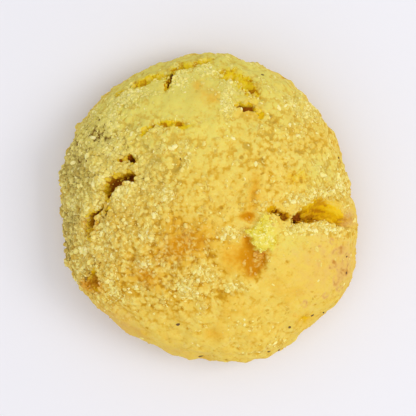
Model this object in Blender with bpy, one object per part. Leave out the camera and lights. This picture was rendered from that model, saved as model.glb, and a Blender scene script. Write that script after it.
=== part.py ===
"""A nankhatai: a thick, domed shortbread biscuit whose crust split open as it baked.

It is one solid. The crust is laid out as rings of points, from the crown down over the side to
the flat foot it baked on. The rings are closed up finer along the cracks, and then every point
is moved along the dough's own surface normal: out for lumps, crags, lips and flakes, and in for
cracks and hollows. +Z is up, the foot lies on z = 0 and the crown is near the Z axis.
"""

import math
from dataclasses import dataclass

import bmesh
import bpy
from mathutils import Vector, noise

MM = 0.001

# Driving dimensions.
WIDTH = 66 * MM  # mean width at the widest level
HEIGHT = 26 * MM  # foot to crown, before the relief
WIDEST_LEVEL = 6.5 * MM  # the side bulges furthest out at this height
FOOT_SHARE = 0.86  # radius of the flat foot, as a share of the widest radius
SHOULDER_POWER = 2.25  # above 2, the shoulder is fuller than an ellipse's

# Where the outline swells or is pressed in: bearing and spread in degrees, then the amount.
OUTLINE_LOBES = (
    (-122, 18, -0.6 * MM),
    (-69, 14, 1.9 * MM),
    (-34, 17, 1.8 * MM),
    (11, 14, -1.9 * MM),
    (36, 17, -1.3 * MM),
    (92, 20, 0.7 * MM),
    (142, 18, 0.6 * MM),
    (177, 15, -0.8 * MM),
    (208, 10, 0.7 * MM),
)

# The mesh.
CRUST_STEP = 1.6 * MM  # side of a triangle on the crust
FOOT_STEP = 6.5 * MM  # side of a triangle on the foot
FEWEST_IN_RING = 6  # points in the ring next to the crown
PROFILE_SAMPLES = 240
GOLDEN_TURN = math.radians(137.5)  # turns each ring against the last, so no seam lines up
ROUTE_STEP = 0.5 * MM  # spacing of the points read from a crack's smooth line
FINE_REACHES = (2.3 * MM, 1.25 * MM)  # triangles this close to a crack are split, then again
NOISE_SEED = 11  # the vector noise has a random offset unless it is seeded

# Relief of the crust.
LUMP_HEIGHT, LUMP_SIZE = 0.55 * MM, 12 * MM
CRAG_HEIGHT, CRAG_SIZE = 0.7 * MM, 4.4 * MM
CRAG_OCTAVES = 2
CRAG_MEAN = 0.35  # what turbulence of that many octaves averages, so crags rise and sink alike
CALM_SHARE = 0.65  # how much of the crags a calm patch loses at its middle
LIP_HEIGHT, LIP_REACH = 0.35 * MM, 1.6 * MM
FULL_LIP_DEPTH = 2 * MM  # a crack at least this deep has lips of the full height
WANDER, WANDER_SIZE = 0.5 * MM, 2.6 * MM  # how far a crack strays from its smooth line
RELIEF_FADE = 3.5 * MM  # relief dies out over this height above the foot
FAR_FROM_CRACK = 6 * MM  # beyond this a crack moves nothing

CRUST_COLOUR = (0.80, 0.56, 0.115, 1.0)
CRUST_ROUGHNESS = 0.82


@dataclass(frozen=True)
class Crack:
    """A crack seen from above. Each stop is (x, y, opening, depth) in millimetres.

    One side of the crack slopes down over the opening's width, and the other is a steep wall.
    slope_side is 1 where the slope lies to the left of the route, and -1 to its right.
    """

    slope_side: int
    stops: tuple


CRACKS = (
    Crack(  # the mouth that opens at the east edge
        1,
        (
            (12.6, -0.2, 0.7, 0.6),
            (14.8, -0.8, 1.0, 2.2),
            (17.3, -1.5, 0.6, 1.0),
            (18.6, -2.3, 1.7, 3.8),
            (21.2, -1.6, 3.1, 4.2),
            (24.8, -2.2, 4.4, 3.4),
            (28.4, -3.6, 3.4, 2.2),
            (32.0, -4.6, 1.0, 0.4),
        ),
    ),
    Crack(  # the long break down the west side
        -1,
        (
            (-15.8, 6.9, 0.6, 0.4),
            (-18.0, 5.8, 1.9, 3.4),
            (-20.6, 3.4, 2.4, 3.0),
            (-22.0, 0.8, 0.9, 1.4),
            (-25.2, -2.8, 1.9, 3.2),
            (-25.3, -6.2, 1.6, 1.8),
            (-23.6, -11.4, 1.5, 1.2),
            (-24.6, -15.6, 2.4, 2.4),
            (-22.6, -18.2, 1.5, 1.2),
            (-20.8, -20.6, 0.6, 0.3),
        ),
    ),
    Crack(  # the shallow arc under the north-west edge
        1,
        (
            (-21.0, 23.2, 0.6, 0.3),
            (-15.8, 25.6, 1.4, 1.0),
            (-11.9, 27.2, 1.6, 1.2),
            (-8.0, 29.0, 1.8, 1.6),
            (-3.7, 30.4, 2.0, 1.2),
            (1.6, 31.9, 0.8, 0.3),
        ),
    ),
    Crack(  # its short branch towards the crown
        1,
        ((-7.8, 29.0, 0.9, 1.2), (-8.4, 27.0, 1.0, 1.6), (-9.2, 24.6, 0.7, 0.3)),
    ),
    Crack(  # the crumbled patch on the north
        1,
        (
            (1.6, 28.0, 0.8, 0.3),
            (4.8, 27.6, 2.2, 1.4),
            (7.6, 25.9, 2.4, 1.6),
            (10.6, 23.6, 1.4, 0.5),
        ),
    ),
    Crack(  # the thin break below that patch
        1,
        (
            (5.0, 21.4, 0.6, 0.3),
            (7.6, 21.2, 0.9, 1.6),
            (9.4, 21.0, 0.9, 1.5),
            (12.8, 18.4, 0.6, 0.3),
        ),
    ),
    Crack(  # the fine crack across the north-west of the crown
        1,
        (
            (-17.0, 14.6, 0.6, 0.3),
            (-13.2, 15.9, 0.7, 1.0),
            (-11.0, 17.4, 0.7, 0.9),
            (-7.0, 17.8, 0.7, 0.8),
            (-3.4, 17.2, 0.6, 0.3),
        ),
    ),
    Crack(  # the torn crease that runs up from the flake
        -1,
        ((10.9, -3.4, 1.0, 0.9), (9.8, -0.6, 1.6, 1.0), (9.0, 3.6, 1.4, 0.3)),
    ),
    Crack(  # the flake's own torn edge, above the hollow
        -1,
        ((8.3, -4.2, 0.8, 0.3), (9.0, -6.8, 1.6, 0.9), (11.4, -8.2, 2.0, 1.0), (13.8, -7.4, 1.0, 0.3)),
    ),
)
WALL_WIDTH = 0.75 * MM  # across a crack's steep side

# Raised places (+) and hollows (-): x, y, half-widths along x and y and height in millimetres,
# then how crisp the edge is, from 1 for a round swelling to 3 for a flat flake.
SWELLINGS = (
    (11.4, -5.4, 2.9, 2.6, 0.8, 3),
    (9.4, -11.4, 2.9, 4.0, -0.9, 1),
    (-17.6, 10.2, 1.4, 1.0, -1.3, 1),
    (22.0, -14.0, 8.0, 7.0, 0.8, 1),
    (-12.0, -8.0, 9.0, 9.0, 0.7, 1),
    (0.0, 20.0, 9.0, 6.0, 0.5, 1),
    (-14.0, 21.0, 7.0, 4.0, 0.4, 1),
)
# Places where the crust is smoother: x, y, half-widths along x and y, in millimetres.
CALM_PATCHES = (
    (-5.0, 18.0, 7.0, 12.0),
    (22.0, -14.0, 8.0, 8.0),
)


def clear_scene():
    """Removes whatever the scene holds."""
    for obj in list(bpy.data.objects):
        bpy.data.objects.remove(obj)


def smooth_step(value):
    """0 below 0, 1 above 1, and a smooth rise between them."""
    held = min(1.0, max(0.0, value))
    return held * held * (3 - 2 * held)


def outline_radius(bearing):
    """The widest radius towards a bearing, in radians from +X."""
    radius = WIDTH / 2
    for centre, spread, amount in OUTLINE_LOBES:
        away = (math.degrees(bearing) - centre + 180) % 360 - 180
        radius += amount * math.exp(-((away / spread) ** 2))
    return radius


def dome_profile():
    """The section from crown to foot, as (share of the outline's radius, height) pairs."""
    section = []
    for i in range(PROFILE_SAMPLES + 1):
        turn = math.pi * i / PROFILE_SAMPLES
        if turn <= math.pi / 2:
            share = math.sin(turn) ** (2 / SHOULDER_POWER)
            level = WIDEST_LEVEL + (HEIGHT - WIDEST_LEVEL) * math.cos(turn)
        else:
            share = FOOT_SHARE + (1 - FOOT_SHARE) * math.sin(turn)
            level = WIDEST_LEVEL * (1 + math.cos(turn))
        section.append((share, level))
    section[-1] = (FOOT_SHARE, 0.0)
    return section


def even_stations(section, step):
    """Points of the section, about a step apart along its own length."""
    lengths = [0.0]
    for (a, low), (b, high) in zip(section, section[1:]):
        lengths.append(lengths[-1] + math.hypot((b - a) * WIDTH / 2, high - low))
    count = round(lengths[-1] / step)
    stations, at = [], 0
    for k in range(1, count + 1):
        wanted = lengths[-1] * k / count
        while lengths[at + 1] < wanted - 1e-12:
            at += 1
        part = (wanted - lengths[at]) / (lengths[at + 1] - lengths[at])
        (a, low), (b, high) = section[at], section[at + 1]
        stations.append((a + (b - a) * part, low + (high - low) * part))
    return stations


def add_ring(bm, share, level, step, start):
    """One ring of the shell, with its points about a step apart."""
    count = max(FEWEST_IN_RING, round(2 * math.pi * share * WIDTH / 2 / step))
    ring = []
    for i in range(count):
        bearing = start + 2 * math.pi * i / count
        radius = share * outline_radius(bearing)
        ring.append(bm.verts.new((radius * math.cos(bearing), radius * math.sin(bearing), level)))
    return ring, start


def zip_rings(bm, first, first_start, second, second_start):
    """Joins two rings of any counts with a band of triangles, facing out from first to second."""
    shift = round((first_start - second_start) / (2 * math.pi) * len(second))
    i = j = 0
    while i < len(first) or j < len(second):
        a = first[i % len(first)]
        b = second[(j + shift) % len(second)]
        reach_a = first_start + 2 * math.pi * (i + 1) / len(first)
        reach_b = second_start + 2 * math.pi * (j + shift + 1) / len(second)
        if j >= len(second) or (i < len(first) and reach_a <= reach_b):
            i += 1
            bm.faces.new((a, b, first[i % len(first)]))
        else:
            j += 1
            bm.faces.new((a, b, second[(j + shift) % len(second)]))


def build_shell(bm):
    """The plain dough: crown, rings over the side, and the flat foot, closed."""
    crown = bm.verts.new((0, 0, HEIGHT))
    rings = []
    for k, (share, level) in enumerate(even_stations(dome_profile(), CRUST_STEP)):
        rings.append(add_ring(bm, share, level, CRUST_STEP, k * GOLDEN_TURN))
    foot_rings = round(FOOT_SHARE * WIDTH / 2 / FOOT_STEP)
    for k in range(foot_rings - 1, 0, -1):
        share = FOOT_SHARE * k / foot_rings
        rings.append(add_ring(bm, share, 0.0, FOOT_STEP, rings[-1][1] + GOLDEN_TURN))
    heel = bm.verts.new((0, 0, 0))
    top, bottom = rings[0][0], rings[-1][0]
    for i, point in enumerate(top):
        bm.faces.new((crown, point, top[(i + 1) % len(top)]))
    for (first, first_start), (second, second_start) in zip(rings, rings[1:]):
        zip_rings(bm, first, first_start, second, second_start)
    for i, point in enumerate(bottom):
        bm.faces.new((heel, bottom[(i + 1) % len(bottom)], point))


def on_dome(x, y):
    """The point of the plain dome over a plan point, in metres."""
    share = math.hypot(x, y) / outline_radius(math.atan2(y, x))
    rise = math.sqrt(max(0.0, 1 - min(1.0, share) ** SHOULDER_POWER))
    return Vector((x, y, WIDEST_LEVEL + (HEIGHT - WIDEST_LEVEL) * rise))


def smooth_between(p, q, r, s, part):
    """The Catmull-Rom curve from q to r, on each number of the stops."""
    return [
        0.5
        * (
            2 * b
            + (c - a) * part
            + (2 * a - 5 * b + 4 * c - d) * part**2
            + (3 * b - a - 3 * c + d) * part**3
        )
        for a, b, c, d in zip(p, q, r, s)
    ]


def crack_line(crack):
    """The crack's wandering line on the dome, as (point, opening, depth) in metres."""
    stops = [tuple(number * MM for number in stop) for stop in crack.stops]
    padded = [stops[0], *stops, stops[-1]]
    line = []
    for p, q, r, s in zip(padded, padded[1:], padded[2:], padded[3:]):
        count = max(1, round(math.hypot(r[0] - q[0], r[1] - q[1]) / ROUTE_STEP))
        for i in range(count):
            x, y, opening, depth = smooth_between(p, q, r, s, i / count)
            stray = noise.noise_vector(Vector((x, y, 0)) / WANDER_SIZE) * WANDER
            line.append((on_dome(x + stray.x, y + stray.y), max(0.0, opening), max(0.0, depth)))
    line.append((on_dome(stops[-1][0], stops[-1][1]), stops[-1][2], stops[-1][3]))
    return line


def ball_round(line, margin):
    """The middle and radius of a ball that holds a crack's line and a margin round it."""
    middle = sum((stop[0] for stop in line), Vector()) / len(line)
    return middle, max((stop[0] - middle).length for stop in line) + margin


def nearest_on(line, point, up):
    """How far a point is from a crack's line, on which side, and the crack's size there."""
    best = (math.inf, 1.0, 0.0, 0.0)
    for (a, opening_a, depth_a), (b, opening_b, depth_b) in zip(line, line[1:]):
        along = b - a
        part = min(1.0, max(0.0, (point - a).dot(along) / max(along.length_squared, 1e-18)))
        away = point - (a + along * part)
        if away.length < best[0]:
            side = 1.0 if along.cross(away).dot(up) > 0 else -1.0
            opening = opening_a + (opening_b - opening_a) * part
            best = (away.length, side, opening, depth_a + (depth_b - depth_a) * part)
    return best


def crack_relief(crack, line, point, up):
    """How a crack moves a point: down inside the opening, and up along both lips."""
    distance, side, opening, depth = nearest_on(line, point, up)
    on_slope = side == crack.slope_side
    width = opening if on_slope else min(WALL_WIDTH, opening)
    if distance < width:
        fall = 1 - distance / width
        return -depth * (smooth_step(fall) if on_slope else fall)
    strength = min(1.0, depth / FULL_LIP_DEPTH)
    return LIP_HEIGHT * strength * math.exp(-(((distance - width) / LIP_REACH) ** 2))


def patch_reach(point, x, y, half_x, half_y):
    """0 at the middle of an oval patch given in millimetres, 1 at its rim, and more outside."""
    return ((point.x / MM - x) / half_x) ** 2 + ((point.y / MM - y) / half_y) ** 2


def swelling_relief(point):
    """Raised places and hollows of the crust."""
    total = 0.0
    for x, y, half_x, half_y, height, crispness in SWELLINGS:
        total += height * MM * math.exp(-(patch_reach(point, x, y, half_x, half_y) ** crispness))
    return total


def texture_relief(point):
    """Broad lumps, and the crags of the dry crust."""
    lumps = noise.noise(point / LUMP_SIZE)
    crags = noise.turbulence(point / CRAG_SIZE, CRAG_OCTAVES, False) - CRAG_MEAN
    calm = max(math.exp(-patch_reach(point, *patch)) for patch in CALM_PATCHES)
    return LUMP_HEIGHT * lumps + CRAG_HEIGHT * crags * (1 - CALM_SHARE * calm)


def refine_along(bm, lines):
    """Splits the triangles that lie close to a crack, and the closest ones twice."""
    for reach in FINE_REACHES:
        close = set()
        for line in lines:
            middle, radius = ball_round(line, reach)
            for vert in bm.verts:
                if (vert.co - middle).length > radius:
                    continue
                if any((vert.co - stop[0]).length < reach for stop in line):
                    close.add(vert)
        edges = [edge for edge in bm.edges if edge.verts[0] in close and edge.verts[1] in close]
        bmesh.ops.subdivide_edges(bm, edges=edges, cuts=1)
        bmesh.ops.triangulate(bm, faces=[face for face in bm.faces if len(face.verts) > 3])


def raise_relief(bm, lines):
    """Moves each crust point along its normal by all of the relief."""
    bm.normal_update()
    balls = [ball_round(line, FAR_FROM_CRACK) for line in lines]
    moves = []
    for vert in bm.verts:
        fade = smooth_step(vert.co.z / RELIEF_FADE)
        if fade == 0:
            continue
        pulls = [0.0]
        for crack, line, (middle, radius) in zip(CRACKS, lines, balls):
            if (vert.co - middle).length < radius:
                pulls.append(crack_relief(crack, line, vert.co, vert.normal))
        height = min(pulls) if min(pulls) < 0 else max(pulls)
        height += texture_relief(vert.co) + swelling_relief(vert.co)
        moves.append((vert, vert.normal * height * fade))
    for vert, move in moves:
        vert.co += move


def stand_on_origin(bm):
    """Moves the biscuit so that the middle of its box, seen from above, is on the Z axis."""
    spans = [[vert.co[axis] for vert in bm.verts] for axis in (0, 1)]
    middle = [(min(span) + max(span)) / 2 for span in spans]
    bmesh.ops.translate(bm, verts=bm.verts, vec=(-middle[0], -middle[1], 0))


def crust_material():
    """Baked shortbread: dull, golden yellow."""
    material = bpy.data.materials.new("baked_shortbread")
    material.use_nodes = True
    shader = material.node_tree.nodes["Principled BSDF"]
    shader.inputs["Base Color"].default_value = CRUST_COLOUR
    shader.inputs["Roughness"].default_value = CRUST_ROUGHNESS
    shader.inputs["Metallic"].default_value = 0.0
    material.diffuse_color = CRUST_COLOUR
    return material


def build_biscuit():
    """The whole nankhatai, as one object."""
    bm = bmesh.new()
    build_shell(bm)
    lines = [crack_line(crack) for crack in CRACKS]
    refine_along(bm, lines)
    raise_relief(bm, lines)
    stand_on_origin(bm)
    bmesh.ops.recalc_face_normals(bm, faces=bm.faces)
    mesh = bpy.data.meshes.new("nankhatai")
    bm.to_mesh(mesh)
    bm.free()
    mesh.shade_smooth()
    mesh.materials.append(crust_material())
    biscuit = bpy.data.objects.new("nankhatai", mesh)
    bpy.context.scene.collection.objects.link(biscuit)
    return biscuit


def main():
    """Builds the biscuit in an empty scene."""
    noise.seed_set(NOISE_SEED)
    clear_scene()
    build_biscuit()


main()
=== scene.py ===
import logging
import math
from dataclasses import dataclass, field
from enum import Enum

import bmesh
import bpy
import numpy as np
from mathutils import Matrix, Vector, noise


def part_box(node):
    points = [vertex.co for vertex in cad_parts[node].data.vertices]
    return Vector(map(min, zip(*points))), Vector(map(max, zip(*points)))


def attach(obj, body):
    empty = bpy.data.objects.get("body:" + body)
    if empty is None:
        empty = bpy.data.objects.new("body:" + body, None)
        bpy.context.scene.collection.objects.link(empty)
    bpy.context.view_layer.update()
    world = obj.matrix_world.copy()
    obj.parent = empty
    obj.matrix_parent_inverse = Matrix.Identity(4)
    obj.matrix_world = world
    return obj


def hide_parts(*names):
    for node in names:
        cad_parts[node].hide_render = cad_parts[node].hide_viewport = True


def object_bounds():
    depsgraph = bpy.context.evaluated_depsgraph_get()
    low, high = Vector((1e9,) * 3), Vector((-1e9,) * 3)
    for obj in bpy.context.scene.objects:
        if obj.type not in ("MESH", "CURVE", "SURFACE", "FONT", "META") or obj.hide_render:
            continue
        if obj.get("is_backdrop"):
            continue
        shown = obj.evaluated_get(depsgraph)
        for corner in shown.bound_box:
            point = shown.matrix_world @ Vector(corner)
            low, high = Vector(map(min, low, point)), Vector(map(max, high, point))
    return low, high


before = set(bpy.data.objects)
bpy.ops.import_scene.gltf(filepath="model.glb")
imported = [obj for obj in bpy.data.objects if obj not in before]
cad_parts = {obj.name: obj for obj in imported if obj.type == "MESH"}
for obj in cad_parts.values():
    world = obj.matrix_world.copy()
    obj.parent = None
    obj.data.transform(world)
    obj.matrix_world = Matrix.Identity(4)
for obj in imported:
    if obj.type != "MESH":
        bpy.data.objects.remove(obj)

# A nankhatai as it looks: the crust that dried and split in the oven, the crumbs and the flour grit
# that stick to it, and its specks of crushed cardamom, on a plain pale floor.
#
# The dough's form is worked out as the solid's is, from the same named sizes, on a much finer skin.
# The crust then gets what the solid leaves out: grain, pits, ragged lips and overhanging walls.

MM = 0.001
NODE = "nankhatai"
NOISE_SEED = 11  # the vector noise has a random offset unless it is seeded
TINY = 1e-9  # keeps a division from a divisor of 0
# Numbers without a pattern, which turn a cell's place into random numbers of its own.
CELL_MIXER = np.array(
    [[12.9898, 39.346, 73.156], [78.233, 11.135, 52.235], [37.719, 83.155, 9.151]]
)
CELL_SPREAD = 43758.5453

Array = np.ndarray
Range = tuple[float, float]
Material = bpy.types.Material
Socket = bpy.types.NodeSocket
Tree = bpy.types.NodeTree
log = logging.getLogger("nankhatai")


# ---------------------------------------------------------------- small helpers


def smooth_step(value: Array) -> Array:
    """Gives 0 below 0, 1 above 1, and a smooth rise between them."""
    held = np.clip(value, 0.0, 1.0)
    return held * held * (3.0 - 2.0 * held)


def rise_between(value: Array, low: float, high: float) -> Array:
    """Gives a smooth rise from 0 at low to 1 at high."""
    return smooth_step((value - low) / (high - low))


def unit(vectors: Array) -> Array:
    """Gives each vector at a length of 1."""
    return vectors / np.maximum(np.linalg.norm(vectors, axis=1, keepdims=True), 1e-12)


def linear(colour: str) -> tuple[float, float, float, float]:
    """Turns an sRGB hex colour to linear light.

    Args:
        colour: such as "#E3BF4A".

    Returns:
        Red, green, blue and an alpha of 1.
    """
    shares = [int(colour[i : i + 2], 16) / 255 for i in (1, 3, 5)]
    light = [s / 12.92 if s <= 0.04045 else ((s + 0.055) / 1.055) ** 2.4 for s in shares]
    return (light[0], light[1], light[2], 1.0)


def feed(tree: Tree, node: bpy.types.Node, links: dict) -> None:
    """Gives a node's inputs, by name or number, an output that feeds them or else a value."""
    for name, value in links.items():
        if isinstance(value, Socket):
            tree.links.new(value, node.inputs[name])
        else:
            node.inputs[name].default_value = value


def add_node(tree: Tree, kind: str, settings: dict, links: dict) -> bpy.types.Node:
    """Adds one node to a material.

    Args:
        tree: the material's node tree.
        kind: the node's type, such as "ShaderNodeTexNoise".
        settings: values of the node's own properties.
        links: for each input, by name or number, the output that feeds it or else its value.

    Returns:
        The new node.
    """
    node = tree.nodes.new(kind)
    for name, value in settings.items():
        setattr(node, name, value)
    feed(tree, node, links)
    return node


def noise_at(points: Array, size: float) -> Array:
    """Smooth noise, from -1 to 1, with swells about as wide as the size."""
    return np.array([noise.noise(Vector(point)) for point in points / size])


def turbulence_at(points: Array, size: float, octaves: int) -> Array:
    """Billowy noise, 0 or more, with swells about as wide as the size."""
    return np.array([noise.turbulence(Vector(point), octaves, False) for point in points / size])


def stray_at(points: Array, size: float) -> Array:
    """A vector of noise at each point, each of its numbers from -1 to 1."""
    return np.array([noise.noise_vector(Vector(point)) for point in points / size])


def moved_about(points: Array, size: float, amount: float) -> Array:
    """The points moved about by noise of a size, so that what is worked out there is uneven."""
    return points + stray_at(points, size) * amount


def cells_at(points: Array, size: float) -> tuple[Array, Array]:
    """Random cells about as wide as the size, as crumbly dough breaks into.

    Args:
        points: the points.
        size: the width of a cell.

    Returns:
        How far each point is from its cell's middle, as a share of the size, and three random
        numbers from 0 to 1 that all points of one cell share.
    """
    cells = [noise.voronoi(Vector(point)) for point in points / size]
    near = np.array([distances[0] for distances, _ in cells])
    middles = np.array([sites[0] for _, sites in cells])
    return near, np.abs(np.sin(middles @ CELL_MIXER) * CELL_SPREAD) % 1.0


def area_vectors(points: Array, faces: Array) -> Array:
    """Each triangle's normal, twice as long as its area."""
    a, b, c = (points[faces[:, k]] for k in range(3))
    return np.cross(b - a, c - a)


def sum_at_corners(faces: Array, numbers: Array, count: int) -> Array:
    """Adds each triangle's number to its three corners, of count points in all."""
    return sum(np.bincount(faces[:, k], numbers, count) for k in range(3))


def corner_normals(points: Array, faces: Array) -> Array:
    """The skin's normal at each point, by the areas of the triangles round it."""
    vectors = area_vectors(points, faces)
    columns = [sum_at_corners(faces, column, len(points)) for column in vectors.T]
    return unit(np.column_stack(columns))


# ---------------------------------------------------------------- places on the crust


@dataclass(frozen=True)
class Patch:
    """An oval place on the biscuit as seen from above, in millimetres and degrees."""

    x: float
    y: float
    half_x: float
    half_y: float
    amount: float = 1.0
    turn: float = 0.0

    def reach(self, points: Array) -> Array:
        """0 at the middle, 1 on the oval, and more outside it, by the square of the distance."""
        across, up = points[:, 0] / MM - self.x, points[:, 1] / MM - self.y
        c, s = math.cos(math.radians(self.turn)), math.sin(math.radians(self.turn))
        x, y = (across * c + up * s) / self.half_x, (up * c - across * s) / self.half_y
        return x**2 + y**2

    def weight(self, points: Array) -> Array:
        """The patch's amount in its middle, which fades out softly round the oval."""
        return self.amount * np.exp(-self.reach(points))

    def rim(self, points: Array, share: float) -> Array:
        """The patch's amount along the oval, in a band whose half width is this share of it."""
        return self.amount * np.exp(-(((np.sqrt(self.reach(points)) - 1) / share) ** 2))


@dataclass(frozen=True)
class Blot:
    """A place of any shape. Each corner is (x, y, softness of the edge there), in millimetres."""

    corners: tuple[tuple[float, float, float], ...]
    amount: float = 1.0

    def weight(self, points: Array) -> Array:
        """The blot's amount inside it and 0 outside, with a rise between them along its edge."""
        start = np.array(self.corners)
        end = np.roll(start, -1, axis=0)
        along = end[:, :2] - start[:, :2]
        at = points[:, None, :2] / MM
        gap = at - start[:, :2]
        part = np.clip((gap * along).sum(axis=2) / (along**2).sum(axis=1), 0.0, 1.0)
        away = np.linalg.norm(gap - along * part[..., None], axis=2)
        row, k = np.arange(len(points)), away.argmin(axis=1)
        soft = start[k, 2] + (end[k, 2] - start[k, 2]) * part[row, k]
        # A point is inside where a level line from it meets the edge an odd number of times.
        level = at[..., 1]
        spans = (start[:, 1] > level) != (end[:, 1] > level)
        slant = along[:, 0] / np.where(along[:, 1] == 0, 1.0, along[:, 1])
        meets = spans & (at[..., 0] < start[:, 0] + (level - start[:, 1]) * slant)
        sign = np.where(meets.sum(axis=1) % 2 == 1, 1.0, -1.0)
        return self.amount * smooth_step(0.5 + sign * away[row, k] / soft)


def patches(*rows: tuple[float, ...]) -> tuple[Patch, ...]:
    """Makes a patch of each row: x, y, the two half widths, then its amount and its turn if any."""
    return tuple(Patch(*row) for row in rows)


def strongest(places: tuple[Patch, ...], points: Array) -> Array:
    """The largest weight of several patches at each point."""
    return np.max([patch.weight(points) for patch in places], axis=0)


def summed(places: tuple[Patch, ...], points: Array) -> Array:
    """The weights of several patches at each point, added up."""
    return sum(patch.weight(points) for patch in places)


# Where the crust is raised in lumps or sunk, in millimetres.
SWELLINGS = patches(
    (-17.6, 10.2, 1.4, 1, -1.3), (22, -14, 8, 7, 0.8), (-12, -8, 9, 9, 0.7), (0, 20, 9, 6, 0.5),
    (-14, 21, 7, 4, 0.4),
)
# The flake of crust that tore up: its south-west edge is sharp, and the rest runs into the crust.
FLAKE = Blot(
    (
        (7.1, -4.7, 0.3), (9, -4.3, 0.4), (9.9, -3.6, 0.6), (10.4, -2.4, 1.6), (11, -1.2, 2),
        (12.8, -1.2, 2.4), (13.8, -3, 5), (14.4, -5, 6), (14.4, -7, 5), (13.9, -8.2, 1.8),
        (13.2, -9.2, 0.5), (12.4, -8.5, 0.4), (11.6, -8.9, 0.4), (10.9, -9.7, 0.3),
        (10.3, -8.8, 0.3), (9.5, -9, 0.3), (9.6, -7.9, 0.3), (8.6, -7.5, 0.3), (9.2, -6.5, 0.3),
        (8.3, -5.7, 0.3),
    ),
)
# The hollow that it left, whose floor the oven coloured.
HOLLOW = Blot(
    (
        (7.4, -6, 2), (8.6, -6.2, 0.5), (9, -7.6, 0.5), (9.7, -9, 0.5), (12, -9.2, 0.5),
        (12.1, -11, 0.5), (11.8, -12.6, 0.7), (10.6, -13.6, 1.2), (10.2, -14.8, 1.6),
        (8.2, -14.8, 2.6), (6.8, -12.8, 4.4), (6.2, -10.6, 5), (6.9, -8.4, 3.4),
    ),
    0.9,
)
# Where the crags are lower, and where they are higher.
CALM = patches((-5, 18, 7, 12), (22, -14, 8, 8))
CRAGGY = patches((-28.5, 2, 6, 15, 1.3), (-20, 6, 6, 8, 0.6))
# How grainy and crumbly the crust is, and where it is more so and less so.
PLAIN_GRAIN = 0.42
GRAINY = patches(
    (-24, -1, 13, 18, 0.9), (-5, -13, 11, 10, 0.6), (16, 13, 11, 9, 0.25), (-14, 9, 8, 6, 0.5),
    (26, 6, 5, 9, 0.25), (-29, 2, 5, 14, 0.55), (10.2, -11.4, 2.2, 3.2, 0.5),
)
SMOOTH = patches(
    (-6, 23.5, 9, 5, 0.35), (21, -14, 9, 8, 0.24), (-19, -25, 9, 3.6, 0.2, -40),
    (-7, -31, 9, 2.8, 0.2, -12), (5, -10.6, 2.6, 3, 0.7), (24.6, 0.4, 4, 2.4, 0.4),
    (-3, -24, 12, 6, 0.2),
)
# Where the oven coloured the crust.
BROWNED = patches(
    (-5.5, -7.8, 7.5, 4.2, 1.4, 20), (-13.2, -14.4, 5, 2.6, 1.2, -22), (-7, -3.9, 3, 3, 0.9),
    (4.8, -10.6, 3.4, 3.6, 0.9), (8.2, -1.8, 1.4, 0.9, 2.8), (9.5, 3.2, 1.4, 4.2, 1, -5),
    (-1.2, 24, 4, 3.4, 0.4), (-2, 26, 1.9, 1.4, 0.6), (1, 23.2, 1.8, 2.2, 0.6),
    (8.5, 20.5, 4, 2.6, 0.5), (1.3, -27, 2.6, 1.6, 0.7), (20.5, -23.7, 3, 2, 0.6),
    (21, -14, 8, 8, 0.22), (23.3, 13.8, 2.4, 2.4, 0.4), (-25, -16.4, 2.4, 2, 2.2),
    (-25.4, -3.2, 1.8, 1.4, 1.6), (-18.9, 5, 2.6, 1, 1.5, 34),
)
# Where the skin has flaked off and moist golden crumb shows.
GILDED = patches(
    (4.6, 28.2, 2.6, 1.5, 1, -20), (8, 25.4, 3, 1.5, 1, -48), (-18.6, 24.8, 2.2, 0.7, 0.8, 26),
    (-13.6, 26.9, 2.6, 0.8, 1, 22), (-10, 28.2, 2, 0.9, 1, 20), (-5.6, 30.1, 2.6, 1, 1, 14),
    (-1.4, 31.4, 2.2, 0.8, 0.9, 10), (-5.8, 17.2, 2.4, 0.7, 0.8, -8), (-8.9, 17.8, 1.2, 0.5, 0.8),
    (-22.8, 4, 1.7, 1.1, 0.9, 30), (-26, -5.6, 1.3, 1.5, 0.8), (24.6, 0.4, 3.2, 2, 0.8, -20),
    (18.6, 6.4, 2.6, 1.8, 0.5), (20.4, -23.6, 1.2, 0.9, 0.7),
)
# Where the crust is a greener yellow than round about.
GREENER = patches(
    (17.5, -6.5, 7, 4.5, 0.55), (24, 8, 8, 8, 0.6), (-27, 3, 5, 9, 0.6), (-22, 15, 6, 6, 0.85),
)
# Where the dried skin has a rosy tan.
BLUSHED = patches(
    (30.4, -2.2, 1.8, 2, 0.8), (28.8, -12, 3.4, 6, 0.5), (23.4, -12, 7, 8, 0.34),
    (27.6, -15.6, 1.6, 2.4, 0.5), (-19, -25.6, 9, 3.4, 0.42, -40), (-7, -31.6, 9, 2.6, 0.25, -12),
)
# Small bubbles that burst in the skin and left a brown rim round a shallow pit.
POCKS = patches(
    (26.2, -7.2, 0.6, 0.5, 0.8), (27.5, -9.3, 1, 0.7, 1, 20), (29.2, -10.9, 0.9, 0.6, 0.9, 60),
    (26.2, -12, 0.8, 0.6, 1.1, 40), (28.2, -13.6, 1, 0.5, 1, -20), (29.8, -13, 0.6, 0.7, 0.9),
    (26.8, -15.2, 0.6, 0.8, 0.9), (27.9, -17.2, 0.7, 0.5, 0.8), (24.4, -18.4, 0.6, 0.5, 0.7),
    (22.8, -8.2, 0.5, 0.4, 0.6), (20.2, -20.2, 0.5, 0.6, 0.7),
)
# Where crust has grown back over the shallow end of the mouth.
HEALED = patches((31.2, -3.8, 3.2, 3.4))
# Where painted shade and dry flour grey the side: the west side turns from the light.
SHADED_AND_DUSTY = patches(
    (-31, -4, 3.8, 13, 0.84), (-29.6, 8.6, 5.6, 10, 0.86), (-28, -14, 4, 7, 0.6, 25),
    (-24, 16, 5, 8, 0.62, 45),
)
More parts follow.
